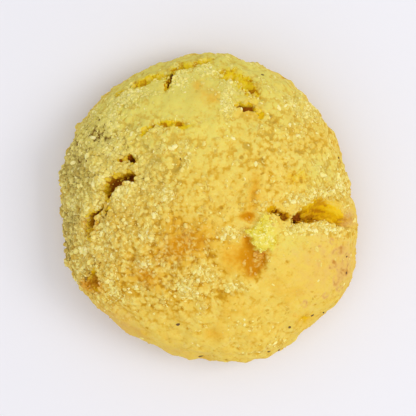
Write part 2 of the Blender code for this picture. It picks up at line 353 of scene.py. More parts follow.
# Where pale, floury crumbs cling together, many of them along the lips of the cracks.
FLOURY = patches(
    (-29.7, 1.1, 1.7, 1.6, 1), (-27.1, -0.2, 2, 1.4, 0.8), (-25.3, 2.4, 1.8, 1.6, 0.9),
    (-23.1, 5.9, 1.6, 1.8, 0.8), (-20.9, 7.3, 2.2, 1.1, 0.8), (-18.3, 2.9, 2.4, 1.2, 1, 32),
    (-22.2, -4.2, 1, 1.6, 0.9), (-24.9, -9, 2.2, 0.9, 1), (-27.5, -9, 1.6, 1.6, 0.8),
    (-27.5, -13, 1, 2, 0.7), (-20.5, -13, 1.2, 2.3, 0.9), (-20.5, -16.9, 1.1, 2.6, 0.8),
    (-13.9, -11.7, 1.1, 1, 1.2), (-12.5, -5.9, 0.9, 1.8, 1.1), (-5.1, -16.9, 1.9, 1.7, 1),
    (-0.7, -14.3, 2, 1.4, 0.7), (5.1, -16.9, 2, 0.8, 0.6), (4.2, -5.5, 1.9, 1.2, 0.8),
    (-9, 2.4, 1.8, 1.4, 1), (-29.3, 8.1, 0.9, 0.9, 0.8), (-21.8, 12.5, 1.8, 1.7, 0.8),
    (-20.5, 18.3, 1.3, 2.1, 0.7), (-17, 23.3, 3.4, 1.1, 0.8, 12), (-5.9, 27.1, 1.7, 1.6, 0.6),
    (-0.7, 29.3, 1.9, 1.1, 0.6), (4.2, 24.4, 1.1, 1.9, 0.8), (3.7, 21.3, 1.1, 2.1, 0.7),
    (17.8, 23.1, 1.9, 1.5, 0.6), (22.2, 20.5, 2.1, 1.8, 0.7), (29.7, 5.5, 1.6, 2.6, 0.8),
    (19.6, 1.7, 3.4, 1, 0.7), (24.6, 3.2, 2.8, 1.3, 0.8), (19.6, -4.6, 3, 1, 0.6),
    (25.4, -4.8, 3, 1, 0.6, -8),
)


# ---------------------------------------------------------------- the dough


@dataclass(frozen=True)
class Dough:
    """The plain form of the baked dough, before its relief."""

    width: float = 66 * MM
    height: float = 26 * MM
    widest_level: float = 6.5 * MM
    foot_share: float = 0.86
    shoulder_power: float = 2.25
    samples: int = 240
    # Bearing and spread in degrees, then how far the outline swells or is pressed in.
    lobes: tuple[tuple[float, float, float], ...] = (
        (-122, 18, -0.6 * MM), (-69, 14, 1.9 * MM), (-34, 17, 1.8 * MM), (11, 14, -1.9 * MM),
        (36, 17, -1.3 * MM), (92, 20, 0.7 * MM), (142, 18, 0.6 * MM), (177, 15, -0.8 * MM),
        (208, 10, 0.7 * MM),
    )

    def outline_radius(self, bearing: Array) -> Array:
        """The widest radius towards each bearing, in radians from +X."""
        radius = np.full(np.shape(bearing), self.width / 2)
        for centre, spread, amount in self.lobes:
            away = (np.degrees(bearing) - centre + 180) % 360 - 180
            radius = radius + amount * np.exp(-((away / spread) ** 2))
        return radius

    def stations(self, step: float) -> Array:
        """Places down the section, from crown to foot.

        Args:
            step: the way between two places, along the section.

        Returns:
            Rows of (share of the outline's radius, height).
        """
        turn = math.pi * np.arange(self.samples + 1) / self.samples
        upper = turn <= math.pi / 2
        sine = np.clip(np.sin(turn), 0.0, 1.0)
        lower_share = self.foot_share + (1 - self.foot_share) * sine
        share = np.where(upper, sine ** (2 / self.shoulder_power), lower_share)
        top = self.height - self.widest_level
        level = self.widest_level + np.where(upper, top, self.widest_level) * np.cos(turn)
        share[-1], level[-1] = self.foot_share, 0.0
        runs = np.hypot(np.diff(share) * self.width / 2, np.diff(level))
        lengths = np.concatenate(([0.0], np.cumsum(runs)))
        count = round(lengths[-1] / step)
        wanted = lengths[-1] * np.arange(1, count + 1) / count
        return np.column_stack([np.interp(wanted, lengths, column) for column in (share, level)])

    def over(self, x: float, y: float) -> Vector:
        """The point of the plain dome over a plan point."""
        share = math.hypot(x, y) / float(self.outline_radius(np.array(math.atan2(y, x))))
        rise = math.sqrt(max(0.0, 1 - min(1.0, share) ** self.shoulder_power))
        return Vector((x, y, self.widest_level + (self.height - self.widest_level) * rise))


@dataclass(frozen=True)
class Ring:
    """One ring of the skin: its points' numbers start at first, and its first bearing is start."""

    first: int
    count: int
    start: float

    def reached(self, shift: int = 0) -> Array:
        """The bearing that each step round the ring reaches, from its point number shift on."""
        return self.start + 2 * math.pi * (np.arange(1, self.count + 1) + shift) / self.count


@dataclass
class Skin:
    """A closed skin of triangles, in rings from the crown over the side to the foot."""

    dough: Dough
    crust_step: float = 0.36 * MM
    foot_step: float = 0.75 * MM
    fine_reach: float = 2.3 * MM  # triangles this close to a crack are split
    finest_reach: float = 1.3 * MM  # and these once more, where the crack is deep
    finest_depth: float = 1.5 * MM
    fewest_in_ring: int = 6
    golden_turn: float = math.radians(137.5)  # turns each ring against the last
    points: Array = field(init=False)
    faces: Array = field(init=False)

    def __post_init__(self) -> None:
        """Lays out the rings and joins them."""
        rows = [np.array([[0.0, 0.0, self.dough.height]])]
        rings: list[Ring] = []
        total = 1
        levels = [(*station, self.crust_step) for station in self.dough.stations(self.crust_step)]
        foot_rings = round(self.dough.foot_share * self.dough.width / 2 / self.foot_step)
        for k in range(foot_rings - 1, 0, -1):
            levels.append((self.dough.foot_share * k / foot_rings, 0.0, self.foot_step))
        for k, (share, level, step) in enumerate(levels):
            count = max(self.fewest_in_ring, round(math.pi * share * self.dough.width / step))
            start = (k * self.golden_turn) % (2 * math.pi)
            bearing = start + 2 * math.pi * np.arange(count) / count
            radius = share * self.dough.outline_radius(bearing)
            plan = radius * np.cos(bearing), radius * np.sin(bearing)
            rows.append(np.column_stack((*plan, np.full(count, level))))
            rings.append(Ring(total, count, start))
            total += count
        rows.append(np.zeros((1, 3)))
        self.points = np.concatenate(rows)
        faces = [self.fan(0, rings[0], False), self.fan(total, rings[-1], True)]
        faces += [self.band(one, two) for one, two in zip(rings, rings[1:])]
        self.faces = np.concatenate(faces)

    def fan(self, middle: int, ring: Ring, under: bool) -> Array:
        """Joins a ring to the single point in its middle, under it or over it."""
        here = np.arange(ring.count)
        after = (here + 1) % ring.count
        a, b = (after, here) if under else (here, after)
        return np.column_stack((np.full(ring.count, middle), ring.first + a, ring.first + b))

    def band(self, one: Ring, two: Ring) -> Array:
        """Joins two rings of any counts with a band of triangles.

        Args:
            one: the ring nearer the crown.
            two: the next ring, nearer the foot.

        Returns:
            The band's triangles, facing out.
        """
        shift = round((one.start - two.start) / (2 * math.pi) * two.count)
        # Each step along either ring makes one triangle, in order of the bearing it reaches.
        order = np.argsort(np.concatenate((one.reached(), two.reached(shift))), kind="stable")
        on_one = order < one.count
        i = np.cumsum(on_one) - on_one
        j = np.cumsum(~on_one) - ~on_one
        a = one.first + i % one.count
        b = two.first + (j + shift) % two.count
        ahead_one = one.first + (i + 1) % one.count
        ahead_two = two.first + (j + 1 + shift) % two.count
        return np.column_stack((a, b, np.where(on_one, ahead_one, ahead_two)))

    def split_close(self, close: Array) -> None:
        """Splits each edge whose two ends are both close, and the triangles on it.

        Args:
            close: for each point, whether it is close to a crack.
        """
        pairs = np.stack((self.faces, np.roll(self.faces, -1, axis=1)), axis=2).reshape(-1, 2)
        chosen = close[pairs].all(axis=1)
        keys, inverse = np.unique(np.sort(pairs[chosen], axis=1), axis=0, return_inverse=True)
        number = np.full(len(pairs), -1)
        number[chosen] = len(self.points) + inverse.ravel()
        number = number.reshape(-1, 3)
        self.points = np.concatenate((self.points, self.points[keys].mean(axis=1)))
        cuts = (number >= 0).sum(axis=1)
        # With one cut edge a triangle makes two, and it is turned so that the cut comes first.
        once, cut = self.faces[cuts == 1], number[cuts == 1]
        first = cut.argmax(axis=1)
        row = np.arange(len(once))
        p, q, r = (once[row, (first + k) % 3] for k in range(3))
        m = cut[row, first]
        (a, b, c), (ab, bc, ca) = self.faces[cuts == 3].T, number[cuts == 3].T
        parts = [(p, m, r), (m, q, r), (a, ab, ca), (ab, b, bc), (ca, bc, c), (ab, bc, ca)]
        whole = self.faces[cuts == 0]
        self.faces = np.concatenate([whole, *(np.column_stack(part) for part in parts)])


# ---------------------------------------------------------------- cracks


@dataclass(frozen=True)
class Crack:
    """A crack seen from above. Each stop is (x, y, opening, depth) in millimetres.

    One side slopes down over the opening's width, and the other is a steep wall. slope_side is 1
    where the slope lies to the left of the route, and -1 to its right.
    """

    slope_side: int
    stops: tuple[tuple[float, float, float, float], ...]
    comes_and_goes: bool = False  # whether its shallow parts are broken up by bridges of crust


CRACKS = (
    Crack(  # the mouth that opens at the east edge
        1,
        (
            (12.6, -0.8, 0.8, 0.8), (14.8, -1.5, 1, 1.5), (16.4, -2.1, 1, 1.4),
            (17.4, -2.5, 0.4, 0.2), (18.6, -2.8, 1.6, 3.2), (21.2, -2.2, 3.2, 3.9),
            (24.8, -2.4, 5, 3.6), (28.2, -3.4, 3.8, 2.3), (31.6, -4.4, 1.2, 0.4),
        ),
    ),
    Crack(  # the long break down the west side
        -1,
        (
            (-15.9, 6, 0.9, 0.8), (-16.8, 5.8, 2, 3.4), (-18.8, 5.2, 2.4, 3.8),
            (-20.6, 3.8, 2.5, 3.8), (-21.4, 2.4, 1.5, 2.5), (-22.2, 0.8, 0.5, 0.6),
            (-23.3, -0.9, 1, 2.4), (-24.6, -2.7, 1.9, 3.7), (-25.3, -4.6, 2.1, 2.5),
            (-25.4, -6.6, 2.4, 1.1), (-25.4, -9, 3, 0.5), (-24.6, -12.8, 3, 0.5),
            (-23.6, -15, 3, 3), (-23.8, -17, 3.2, 3.4), (-22.8, -18.6, 1.4, 0.6),
            (-20.8, -20.6, 0.6, 0.3),
        ),
        True,
    ),
    Crack(  # the shallow arc under the north-west edge
        1,
        (
            (-21, 23.2, 0.6, 0.3), (-15.8, 25.6, 1.4, 1), (-11.9, 27.2, 1.6, 1.2),
            (-8, 29, 1.8, 1.6), (-3.7, 30.4, 2, 1.2), (1.6, 31.9, 0.8, 0.3),
        ),
        True,
    ),
    Crack(  # its short branch towards the crown
        1,
        ((-7.8, 29.0, 0.9, 1.2), (-8.4, 27.0, 1.0, 1.6), (-9.2, 24.6, 0.7, 0.3)),
    ),
    Crack(  # the crumbled patch on the north
        1,
        (
            (1.6, 28, 0.8, 0.3), (4.8, 27.6, 2.2, 1.4), (7.6, 25.9, 2.4, 1.6),
            (10.6, 23.6, 1.4, 0.5),
        ),
        True,
    ),
    Crack(  # the thin break below that patch
        1,
        (
            (5, 21.4, 0.6, 0.3), (7.6, 21.2, 0.9, 1.5), (9.4, 21, 0.9, 1.2), (12.8, 18.4, 0.6, 0.3),
        ),
    ),
    Crack(  # the fine crack across the north-west of the crown
        1,
        (
            (-17, 14.6, 0.6, 0.3), (-13.2, 15.9, 0.7, 0.8), (-11, 17.4, 0.6, 0.6),
            (-7, 17.8, 0.8, 0.8), (-3.4, 17.2, 0.6, 0.3),
        ),
    ),
    Crack(  # the torn crease that runs up from the flake
        -1,
        ((10.2, -3.3, 0.8, 0.5), (9.0, -1.4, 1.2, 0.5), (9.3, 3.6, 0.8, 0.3)),
    ),
)
# Thin breaks in the skin alone, too low for the solid.
HAIRLINES = (
    Crack(1, ((-16.1, 5.5, 0.4, 0.3), (-12.5, 6.0, 0.5, 0.5), (-8.6, 4.4, 0.4, 0.2))),
    Crack(1, ((-6.7, -30.2, 0.4, 0.3), (-5.0, -30.4, 0.5, 0.5), (-3.7, -29.7, 0.4, 0.2))),
    Crack(1, ((-20.2, 10.0, 0.4, 0.3), (-19.0, 10.3, 0.6, 0.9), (-17.9, 10.3, 0.4, 0.2))),
    Crack(1, ((-17.4, 10.3, 0.9, 1.2), (-16.6, 10.0, 1.1, 3.0), (-16.0, 9.6, 0.8, 1.0))),
    Crack(-1, ((-20.8, 0.2, 0.4, 0.3), (-21.5, -0.6, 0.7, 1.2), (-22.4, -2.0, 0.4, 0.2))),
    Crack(1, ((-6.6, 12.2, 0.4, 0.2), (-6.0, 10.4, 0.5, 0.5), (-7.0, 8.8, 0.4, 0.2))),
    Crack(1, ((6.6, 28.4, 0.4, 0.3), (8.4, 27.4, 0.8, 0.8), (10.4, 26.6, 0.4, 0.2))),
    Crack(1, ((12.2, 21.0, 0.4, 0.2), (13.6, 18.8, 0.5, 0.5), (15.6, 16.6, 0.4, 0.2))),
    Crack(1, ((-19.8, 19.4, 0.4, 0.2), (-16.8, 21.4, 0.5, 0.5), (-14.2, 22.0, 0.4, 0.2))),
)


@dataclass(frozen=True)
class CrackLine:
    """A crack's wandering line on the dome: points, and the opening and depth at each."""

    slope_side: int
    comes_and_goes: bool
    points: Array
    opening: Array
    depth: Array


@dataclass
class CrackPull:
    """What the cracks do to each point of the skin."""

    move: Array  # along the normal: down inside a crack, up along its lips
    shift: Array  # a vector that carries the foot of a wall in under its lip
    lip: Array  # from 0 to 1 along the lips, for the crumbs that gather there
    tight: Array  # how deep a point lies, as a share of the opening: it tells how dark it is
    strand: Array  # from -1 to 1, the strands of torn crumb that fan out along a crack
    fan: Array  # to 1 where a crack is so wide that its crumb is less in lumps


@dataclass
class Cracks:
    """All the cracks of the crust, and how they move the skin."""

    dough: Dough
    route_step: float = 0.5 * MM
    wander: float = 0.5 * MM
    wander_size: float = 2.6 * MM
    wall_width: float = 0.75 * MM
    lip_height: float = 0.35 * MM
    lip_reach: float = 1.6 * MM
    full_lip_depth: float = 2 * MM
    crumb_reach: float = 0.8 * MM  # how far from the edge the lip's crumbs lie
    slope_crumbs: float = 0.6  # how many of them lie on the side that slopes, of the steep side's
    far: float = 6 * MM
    # How wide the ragged edges' bends are, and how far they stray in and out.
    ragged: tuple[Range, Range] = ((1.5 * MM, 0.5 * MM), (0.6 * MM, 0.26 * MM))
    lump: float = 0.28 * MM  # how far whole lumps of crumb hold on or break away
    lump_size: float = 1.1 * MM
    undercut_share: float = 0.42  # how far a wall's foot goes in, as a share of the depth
    strand_width: float = 0.55 * MM
    strand_length: float = 5.0 * MM
    strand_slant: float = 0.2
    strand_height: float = 0.28 * MM
    strand_swing: float = 1.25
    strand_depth: float = 0.8 * MM  # the strands stand out in full from this depth on
    fan_opening: float = 4.0 * MM  # a crack this wide has its torn crumb in strands
    fan_range: Range = (2.2 * MM, 3.6 * MM)  # of the opening, where the lumps give way to them
    tight_range: Range = (0.9, 1.6)  # depths, for the opening, where both sides become steep
    torn_range: Range = (0.5 * MM, 1.0 * MM)  # depths where torn crumb begins to show
    broken_size: float = 3.0 * MM  # a shallow crack comes and goes over about this length
    broken_mean: float = 0.8
    broken_swing: float = 1.2
    broken_held: Range = (0.15, 1.2)
    whole_range: Range = (1.8 * MM, 3.0 * MM)  # and a deep one doesn't
    chunk: int = 4000
    lines: list[CrackLine] = field(init=False)

    def __post_init__(self) -> None:
        """Works out the line of every crack."""
        self.lines = [self.line_of(crack) for crack in CRACKS + HAIRLINES]

    def line_of(self, crack: Crack) -> CrackLine:
        """The smooth curve through a crack's stops, strayed and laid on the dome.

        Args:
            crack: the crack, in millimetres.

        Returns:
            The same crack, in metres.
        """
        stops = np.array(crack.stops) * MM
        padded = np.concatenate((stops[:1], stops, stops[-1:]))
        rows = []
        for p, q, r, s in zip(padded, padded[1:], padded[2:], padded[3:]):
            count = max(1, round(math.hypot(r[0] - q[0], r[1] - q[1]) / self.route_step))
            for i in range(count):
                t = i / count
                row = 2 * q + (r - p) * t + (2 * p - 5 * q + 4 * r - s) * t**2
                row = 0.5 * (row + (3 * q - p - 3 * r + s) * t**3)
                here = Vector((row[0], row[1], 0)) / self.wander_size
                stray = noise.noise_vector(here) * self.wander
                rows.append((*self.dough.over(row[0] + stray.x, row[1] + stray.y), *row[2:]))
        rows.append((*self.dough.over(*stops[-1][:2]), *stops[-1][2:]))
        table = np.array(rows)
        opening, depth = np.maximum(table[:, 3:], 0.0).T
        return CrackLine(crack.slope_side, crack.comes_and_goes, table[:, :3], opening, depth)

    def near(self, points: Array, reach: float, least_depth: float = 0.0) -> Array:
        """Whether each point lies within a reach of a crack that is at least so deep there."""
        close = np.zeros(len(points), bool)
        for line in self.lines:
            for stop in line.points[line.depth >= least_depth]:
                close |= ((points - stop) ** 2).sum(axis=1) < reach**2
        return close

    def nearest(self, line: CrackLine, points: Array, up: Array) -> tuple[Array, ...]:
        """Measures points against one crack.

        Args:
            line: the crack.
            points: the points.
            up: the skin's normal at each.

        Returns:
            The distance, the side (1 is left of the route), the opening, the depth, the way along
            the route, and the unit vector across the crack to its left.
        """
        along = np.diff(line.points, axis=0)
        squares = np.maximum((along**2).sum(axis=1), 1e-18)
        passed = np.concatenate(([0.0], np.cumsum(np.sqrt(squares))))
        found = []
        for start in range(0, len(points), self.chunk):
            some, some_up = points[start : start + self.chunk], up[start : start + self.chunk]
            gap = some[:, None] - line.points[None, :-1]
            part = np.clip((gap * along).sum(axis=2) / squares, 0.0, 1.0)
            away = gap - along * part[..., None]
            distance = np.sqrt((away**2).sum(axis=2))
            k = distance.argmin(axis=1)
            row = np.arange(len(some))
            left = unit(np.cross(some_up, along[k]))
            side = np.where((away[row, k] * left).sum(axis=1) > 0, 1.0, -1.0)
            t = part[row, k]
            opening, depth = (
                values[k] * (1 - t) + values[k + 1] * t for values in (line.opening, line.depth)
            )
            way = passed[k] + t * np.sqrt(squares[k])
            found.append((distance[row, k], side, opening, depth, way, left))
        return tuple(np.concatenate(column) for column in zip(*found))

    def broken(self, line: CrackLine, way: Array, depth: Array) -> Array:
        """How much of its depth a crack keeps, so that a shallow one comes and goes.

        Args:
            line: the crack.
            way: how far along the crack each point is.
            depth: the crack's depth there.

        Returns:
            The share of the depth, which is 1 where the crack is deep.
        """
        places = np.column_stack((way / self.broken_size, way * 0, way * 0)) + line.points[0] / MM
        comes = self.broken_mean + self.broken_swing * noise_at(places, 1.0)
        comes = np.clip(comes, *self.broken_held)
        return comes + (1 - comes) * rise_between(depth, *self.whole_range)

    def strands_at(self, line: CrackLine, points: Array, up: Array) -> Array:
        """From -1 to 1 across the strands of torn crumb that fan out along a wide crack."""
        distance, _, opening, _, way, _ = self.nearest(line, points, up)
        across = np.minimum(distance / opening, 1.0) * line.opening.max() / self.strand_width
        flow = np.column_stack((across, way / self.strand_length, opening / MM * self.strand_slant))
        return np.clip(self.strand_swing * noise_at(flow, 1.0), -1.0, 1.0)

    def pull(self, points: Array, up: Array, ragged: bool) -> CrackPull:
        """What every crack together does to the skin.

        Args:
            points: points of the plain skin.
            up: the skin's normal at each.
            ragged: whether the edges are ragged and the walls overhang, or as plain as the solid's.

        Returns:
            How each point moves.
        """
        down, raised, lip, tight, strand, fan = (np.zeros(len(points)) for _ in range(6))
        shift = np.zeros((len(points), 3))
        edges = points
        if ragged:
            for size, amount in self.ragged:
                edges = edges + stray_at(points, size) * amount
            edges = edges + (cells_at(edges, self.lump_size)[1] * 2 - 1) * self.lump
        for line in self.lines:
            middle = line.points.mean(axis=0)
            radius = np.linalg.norm(line.points - middle, axis=1).max() + self.far
            here = np.flatnonzero(np.linalg.norm(points - middle, axis=1) < radius)
            distance, side, opening, depth, way, left = self.nearest(line, edges[here], up[here])
            if ragged and line.comes_and_goes:
                depth = depth * self.broken(line, way, depth)
            on_slope = side == line.slope_side
            width = np.where(on_slope, opening, np.minimum(self.wall_width, opening))
            fall = np.clip(1 - distance / np.maximum(width, TINY), 0.0, 1.0)
            steep = rise_between(depth / opening, *self.tight_range) if ragged else 0.0
            inward = np.minimum(fall * (1 + steep), 1.0)
            moved = -depth * np.where(on_slope, smooth_step(inward), inward)
            deeper = moved < down[here]
            inside = here[deeper]
            under = self.undercut_share * depth * fall**2 * ragged
            shift[inside] = (-line.slope_side * left * under[:, None])[deeper]
            torn_open = rise_between(depth, *self.torn_range)
            tight[inside] = (-moved / np.maximum(opening, TINY) * torn_open)[deeper]
            fan[inside] = rise_between(line.opening.max(), *self.fan_range)
            if ragged and line.opening.max() > self.fan_opening:
                strand[inside] = self.strands_at(line, points[inside], up[inside])
            down[here] = np.minimum(down[here], moved)
            strength = np.minimum(1.0, depth / self.full_lip_depth) * (fall == 0)
            beyond = np.maximum(distance - width, 0.0)
            bump, close = (
                strength * np.exp(-((beyond / reach) ** 2))
                for reach in (self.lip_reach, self.crumb_reach)
            )
            raised[here] = np.maximum(raised[here], self.lip_height * bump)
            lip[here] = np.maximum(lip[here], close * np.where(on_slope, self.slope_crumbs, 1.0))
        down = down + self.strand_height * strand * np.minimum(-down / self.strand_depth, 1.0)
        move = np.where(down < 0, down, raised)
        return CrackPull(move, shift, np.where(down < 0, 0.0, lip), tight, strand, fan)


# ---------------------------------------------------------------- finishes


class Mask(Enum):
    """The numbers that the points of the crust and of the crumbs carry for their finish."""

    TORN = "torn"  # from 0, baked skin, to 1, the crumb inside a crack
    DEEP = "deep"  # to 1 where a crack is so narrow and deep that no light comes out
    STRAND = "strand"  # from -1 to 1 across the strands of torn crumb
    RISE = "rise"  # how far a grain stands up (to 1) or a pit goes in (to -1); painted highlights and painted shade follow it
    GRAIN = "grain"  # from 0, smooth, to 1, covered in crumb
    BROWN = "brown"  # how much the oven coloured it: 1 is light brown, 1.6 a deep orange
    BLUSH = "blush"  # to 1 where the dried skin is a rosy tan
    FRESH = "fresh"  # to 1 on newly torn, unbaked crumb
    COOL = "cool"  # from 0, warm yellow, to 1, a greener yellow
    SHADE_AND_DUST = "shade_and_dust"  # to 1 where painted shade and dry flour grey the side
    FLOUR = "flour"  # to 1 where pale, floury crumbs cling together
    UNDER = "under"  # from 0, crust, to 1, the baked foot
    SHADE = "shade"  # each crumb's own tone, from 0 to 1


def start_material(name: str) -> tuple[Material, Tree, bpy.types.Node]:
    """Makes an empty material.

    Args:
        name: the material's name.

    Returns:
        The material, its node tree, and its one shader, which already feeds the output.
    """
    material = bpy.data.materials.new(name)
    material.use_nodes = True
    tree = material.node_tree
    tree.nodes.clear()
    shader = add_node(tree, "ShaderNodeBsdfPrincipled", {}, {})
    add_node(tree, "ShaderNodeOutputMaterial", {}, {"Surface": shader.outputs["BSDF"]})
    return material, tree, shader


def per_metre(size: float) -> float:
    """The scale that makes a noise texture's features about as wide as a size in millimetres."""
    return 1.0 / (size * MM)


def frayed(
    tree: Tree,
    mask: Mask,
    texture: Socket,
    spread: float,
    low: float,
    high: float,
) -> Socket:
    """Breaks up a mask's soft edge with a texture, so that no patch ends in a clean line.

    Args:
        tree: the material's node tree.
        mask: the mask.
        texture: the texture, from 0 to 1.
        spread: how much of the texture is added to the mask.
        low: the sum that gives 0.
        high: the sum that gives 1.

    Returns:
        The output, from 0 to 1.
    """
    number = add_node(tree, "ShaderNodeAttribute", {"attribute_name": mask.value}, {})
    swing = add_node(
        tree,
        "ShaderNodeMath",
        {"operation": "MULTIPLY_ADD"},
        {0: texture, 1: spread, 2: -spread / 2},
    )
    total = add_node(tree, "ShaderNodeMath", {}, {0: number.outputs["Fac"], 1: swing.outputs[0]})
    stretched = add_node(
        tree,
        "ShaderNodeMapRange",
        {"interpolation_type": "SMOOTHSTEP"},
        {"Value": total.outputs[0], "From Min": low, "From Max": high},
    )
    return stretched.outputs["Result"]


def layered(tree: Tree, base: str, *layers: tuple) -> Socket:
    """Lays colours over a base, each over the last as far as its frayed mask says.

    Args:
        tree: the material's node tree.
        base: the colour at the bottom.
        layers: for each layer its colour, or the output that gives it, and then its mask, texture,
            spread, low and high, as frayed takes them.

    Returns:
        The colour that shows.
    """
    colour = linear(base)
    for tint, *fraying in layers:
        over = linear(tint) if isinstance(tint, str) else tint
        # In a mix of colours input 0 is the factor, 6 and 7 are the colours, and output 2 the mix.
        mix = {0: frayed(tree, *fraying), 6: colour, 7: over}
        colour = add_node(tree, "ShaderNodeMix", {"data_type": "RGBA"}, mix).outputs[2]
    return colour


@dataclass(frozen=True)
class BakedCrust:
    """Shortbread crust: flour and ghee, rolled by hand and dried in the oven.

    It is dull and mealy. The flour grains scatter light a little way in, which softens the edges.
    Pits, creases and the gaps between grains get painted shade, grain tops painted highlights,
    and where it split the moist crumb is a saturated gold.
    """

    golden: str = "#EAC957"
    light: str = "#F0DB74"
    cool: str = "#E4D668"
    rosy: str = "#E2B662"
    blush: str = "#C48832"
    shade_and_dust: str = "#AE9652"
    pit: str = "#DAA724"
    crease: str = "#BC8612"
    dark_fleck: str = "#E4BA4A"
    cool_gap_shade: str = "#D6C45A"
    side_gap_shade: str = "#7C5C20"
    pale_fleck: str = "#F3E07E"
    floury: str = "#F6EBA0"
    grain_tip_highlight: str = "#F4E280"
    toasted: str = "#E8BA40"
    browned: str = "#DD9A10"
    browned_gap_shade: str = "#D08A02"
    torn: str = "#E6B600"
    torn_highlight: str = "#EED052"
    torn_shade: str = "#C88E08"
    torn_cool: str = "#E6C81C"
    torn_brown: str = "#C88A10"
    torn_strand: str = "#C88E08"
    torn_edge: str = "#EDC420"
    deep: str = "#A05A08"
    fresh: str = "#ECD95A"
    fresh_low_shade: str = "#DCC42E"
    fresh_highlight: str = "#F8EC9A"
    foot: str = "#CF9A45"
    foot_spot: str = "#B9782C"
    ior: float = 1.46  # ghee
    sheen_of_fat: float = 0.12  # the open crumb breaks up most of the ghee's gloss
    roughness: Range = (0.7, 0.92)
    scatter: float = 0.1
    scatter_reach: tuple[float, float, float] = (1.0, 0.55, 0.12)  # red goes furthest in
    scatter_mm: float = 0.8
    blotch_mm: float = 5.0
    mottle_mm: float = 1.6
    fleck_mm: float = 0.85
    meal_mm: float = 0.5
    flour_mm: float = 0.24  # real flour is finer, and this is as coarse as it needs to show
    bump_mm: float = 0.15
    smooth_bump: float = 0.35  # of the bump's strength, where the crust is smooth
    fleck_share: float = 1.2  # of the bump, to 1 of the meal and 1 of the flour
    gap_rise: float = 0.8  # a grain's top is this far up, and a gap's floor this far down

    def build(self) -> Material:
        """Makes the material of the crust, the torn crumb in its cracks, and its foot."""
        material, tree, shader = start_material("baked_ghee_shortbread_crust")
        place = add_node(tree, "ShaderNodeTexCoord", {}, {}).outputs["Object"]
        blotch, mottle, fleck, meal, flour = (
            add_node(
                tree,
                "ShaderNodeTexNoise",
                {},
                {"Vector": place, "Scale": per_metre(size), "Detail": detail},
            ).outputs["Fac"]
            for size, detail in (
                (self.blotch_mm, 3.0),
                (self.mottle_mm, 4.0),
                (self.fleck_mm, 2.0),
                (self.meal_mm, 2.0),
                (self.flour_mm, 2.0),
            )
        )
        torn = layered(
            tree,
            self.torn,
            (self.torn_cool, Mask.COOL, mottle, 1.0, 0.2, 0.9),
            (self.torn_brown, Mask.BROWN, meal, 0.8, 0.6, 1.6),
            # Painted highlights on the torn crumb's raised lumps, and painted shade in its low
            # places.
            (self.torn_highlight, Mask.RISE, meal, 0.8, 0.15, 0.65),
            (self.torn_shade, Mask.RISE, meal, -0.8, -0.1, -0.6),
            (self.torn_edge, Mask.STRAND, meal, 0.6, 0.08, 0.5),
            (self.torn_strand, Mask.STRAND, meal, 0.6, -0.1, -0.5),
        )
        fresh = layered(
            tree,
            self.fresh,
            # Painted shade in the flake's low places, and painted highlights on its tips.
            (self.fresh_low_shade, Mask.RISE, mottle, -1.6, 0.0, -0.6),
            (self.fresh_highlight, Mask.RISE, meal, 0.8, 0.15, 0.6),
        )
        # From 0 on a grain's top to 1 down between the grains, where painted shade goes.
        rise = add_node(tree, "ShaderNodeAttribute", {"attribute_name": Mask.RISE.value}, {})
        gap = add_node(
            tree,
            "ShaderNodeMapRange",
            {},
            {"Value": rise.outputs["Fac"], "From Min": self.gap_rise, "From Max": -self.gap_rise},
        ).outputs["Result"]
        colour = layered(
            tree,
            self.golden,
            (self.light, Mask.GRAIN, mottle, 3.0, 0.1, 1.5),
            (self.toasted, Mask.COOL, blotch, -1.6, 0.05, -0.5),
            (self.dark_fleck, Mask.GRAIN, fleck, -3.6, 0.4, 1.9),
            (self.cool, Mask.COOL, mottle, 0.6, 0.1, 0.9),
            (self.toasted, Mask.BROWN, mottle, 0.6, 0.1, 0.7),
            (self.browned, Mask.BROWN, fleck, 1.6, 0.45, 1.5),
            # Painted shade: darker pits and creases, and gaps between grains browner where browned
            # and more olive where cool.
            (self.pit, Mask.RISE, meal, -0.7, -0.1, -0.7),
            (self.crease, Mask.RISE, meal, -0.5, -0.45, -1.0),
            (self.browned_gap_shade, Mask.BROWN, gap, 1.2, 0.75, 2.0),
            (self.cool_gap_shade, Mask.COOL, gap, 1.6, 0.7, 1.8),
            (self.rosy, Mask.BLUSH, mottle, 0.8, 0.05, 0.7),
            (self.blush, Mask.BLUSH, mottle, 1.4, 0.45, 1.4),
            # Painted shade and dust grey the west side and the skirt, and painted shadow darkens
            # the gaps between their grains.
            (self.shade_and_dust, Mask.SHADE_AND_DUST, mottle, 0.8, 0.45, 1.3),
            (self.side_gap_shade, Mask.SHADE_AND_DUST, gap, 1.3, 0.65, 1.2),
            (self.pale_fleck, Mask.GRAIN, fleck, 3.4, 0.75, 2.1),
            (self.floury, Mask.FLOUR, gap, -1.2, 0.6, 1.6),
            # Painted highlight: paler grain tops.
            (self.grain_tip_highlight, Mask.RISE, meal, 0.9, 0.2, 1.1),
            (torn, Mask.TORN, meal, 0.6, 0.0, 0.5),
            (self.deep, Mask.DEEP, meal, 0.5, 0.1, 0.9),
            (fresh, Mask.FRESH, fleck, 0.9, 0.25, 1.0),
            (self.foot, Mask.UNDER, mottle, 0.5, 0.1, 0.9),
            (self.foot_spot, Mask.UNDER, blotch, 2.4, 0.9, 1.9),
        )
        rough = add_node(
            tree,
            "ShaderNodeMapRange",
            {},
            {"Value": meal, "To Min": self.roughness[0], "To Max": self.roughness[1]},
        )
        fine = add_node(tree, "ShaderNodeMath", {}, {0: meal, 1: flour})
        height = add_node(
            tree,
            "ShaderNodeMath",
            {"operation": "MULTIPLY_ADD"},
            {0: fleck, 1: self.fleck_share, 2: fine.outputs[0]},
        )
        grain = add_node(tree, "ShaderNodeAttribute", {"attribute_name": Mask.GRAIN.value}, {})
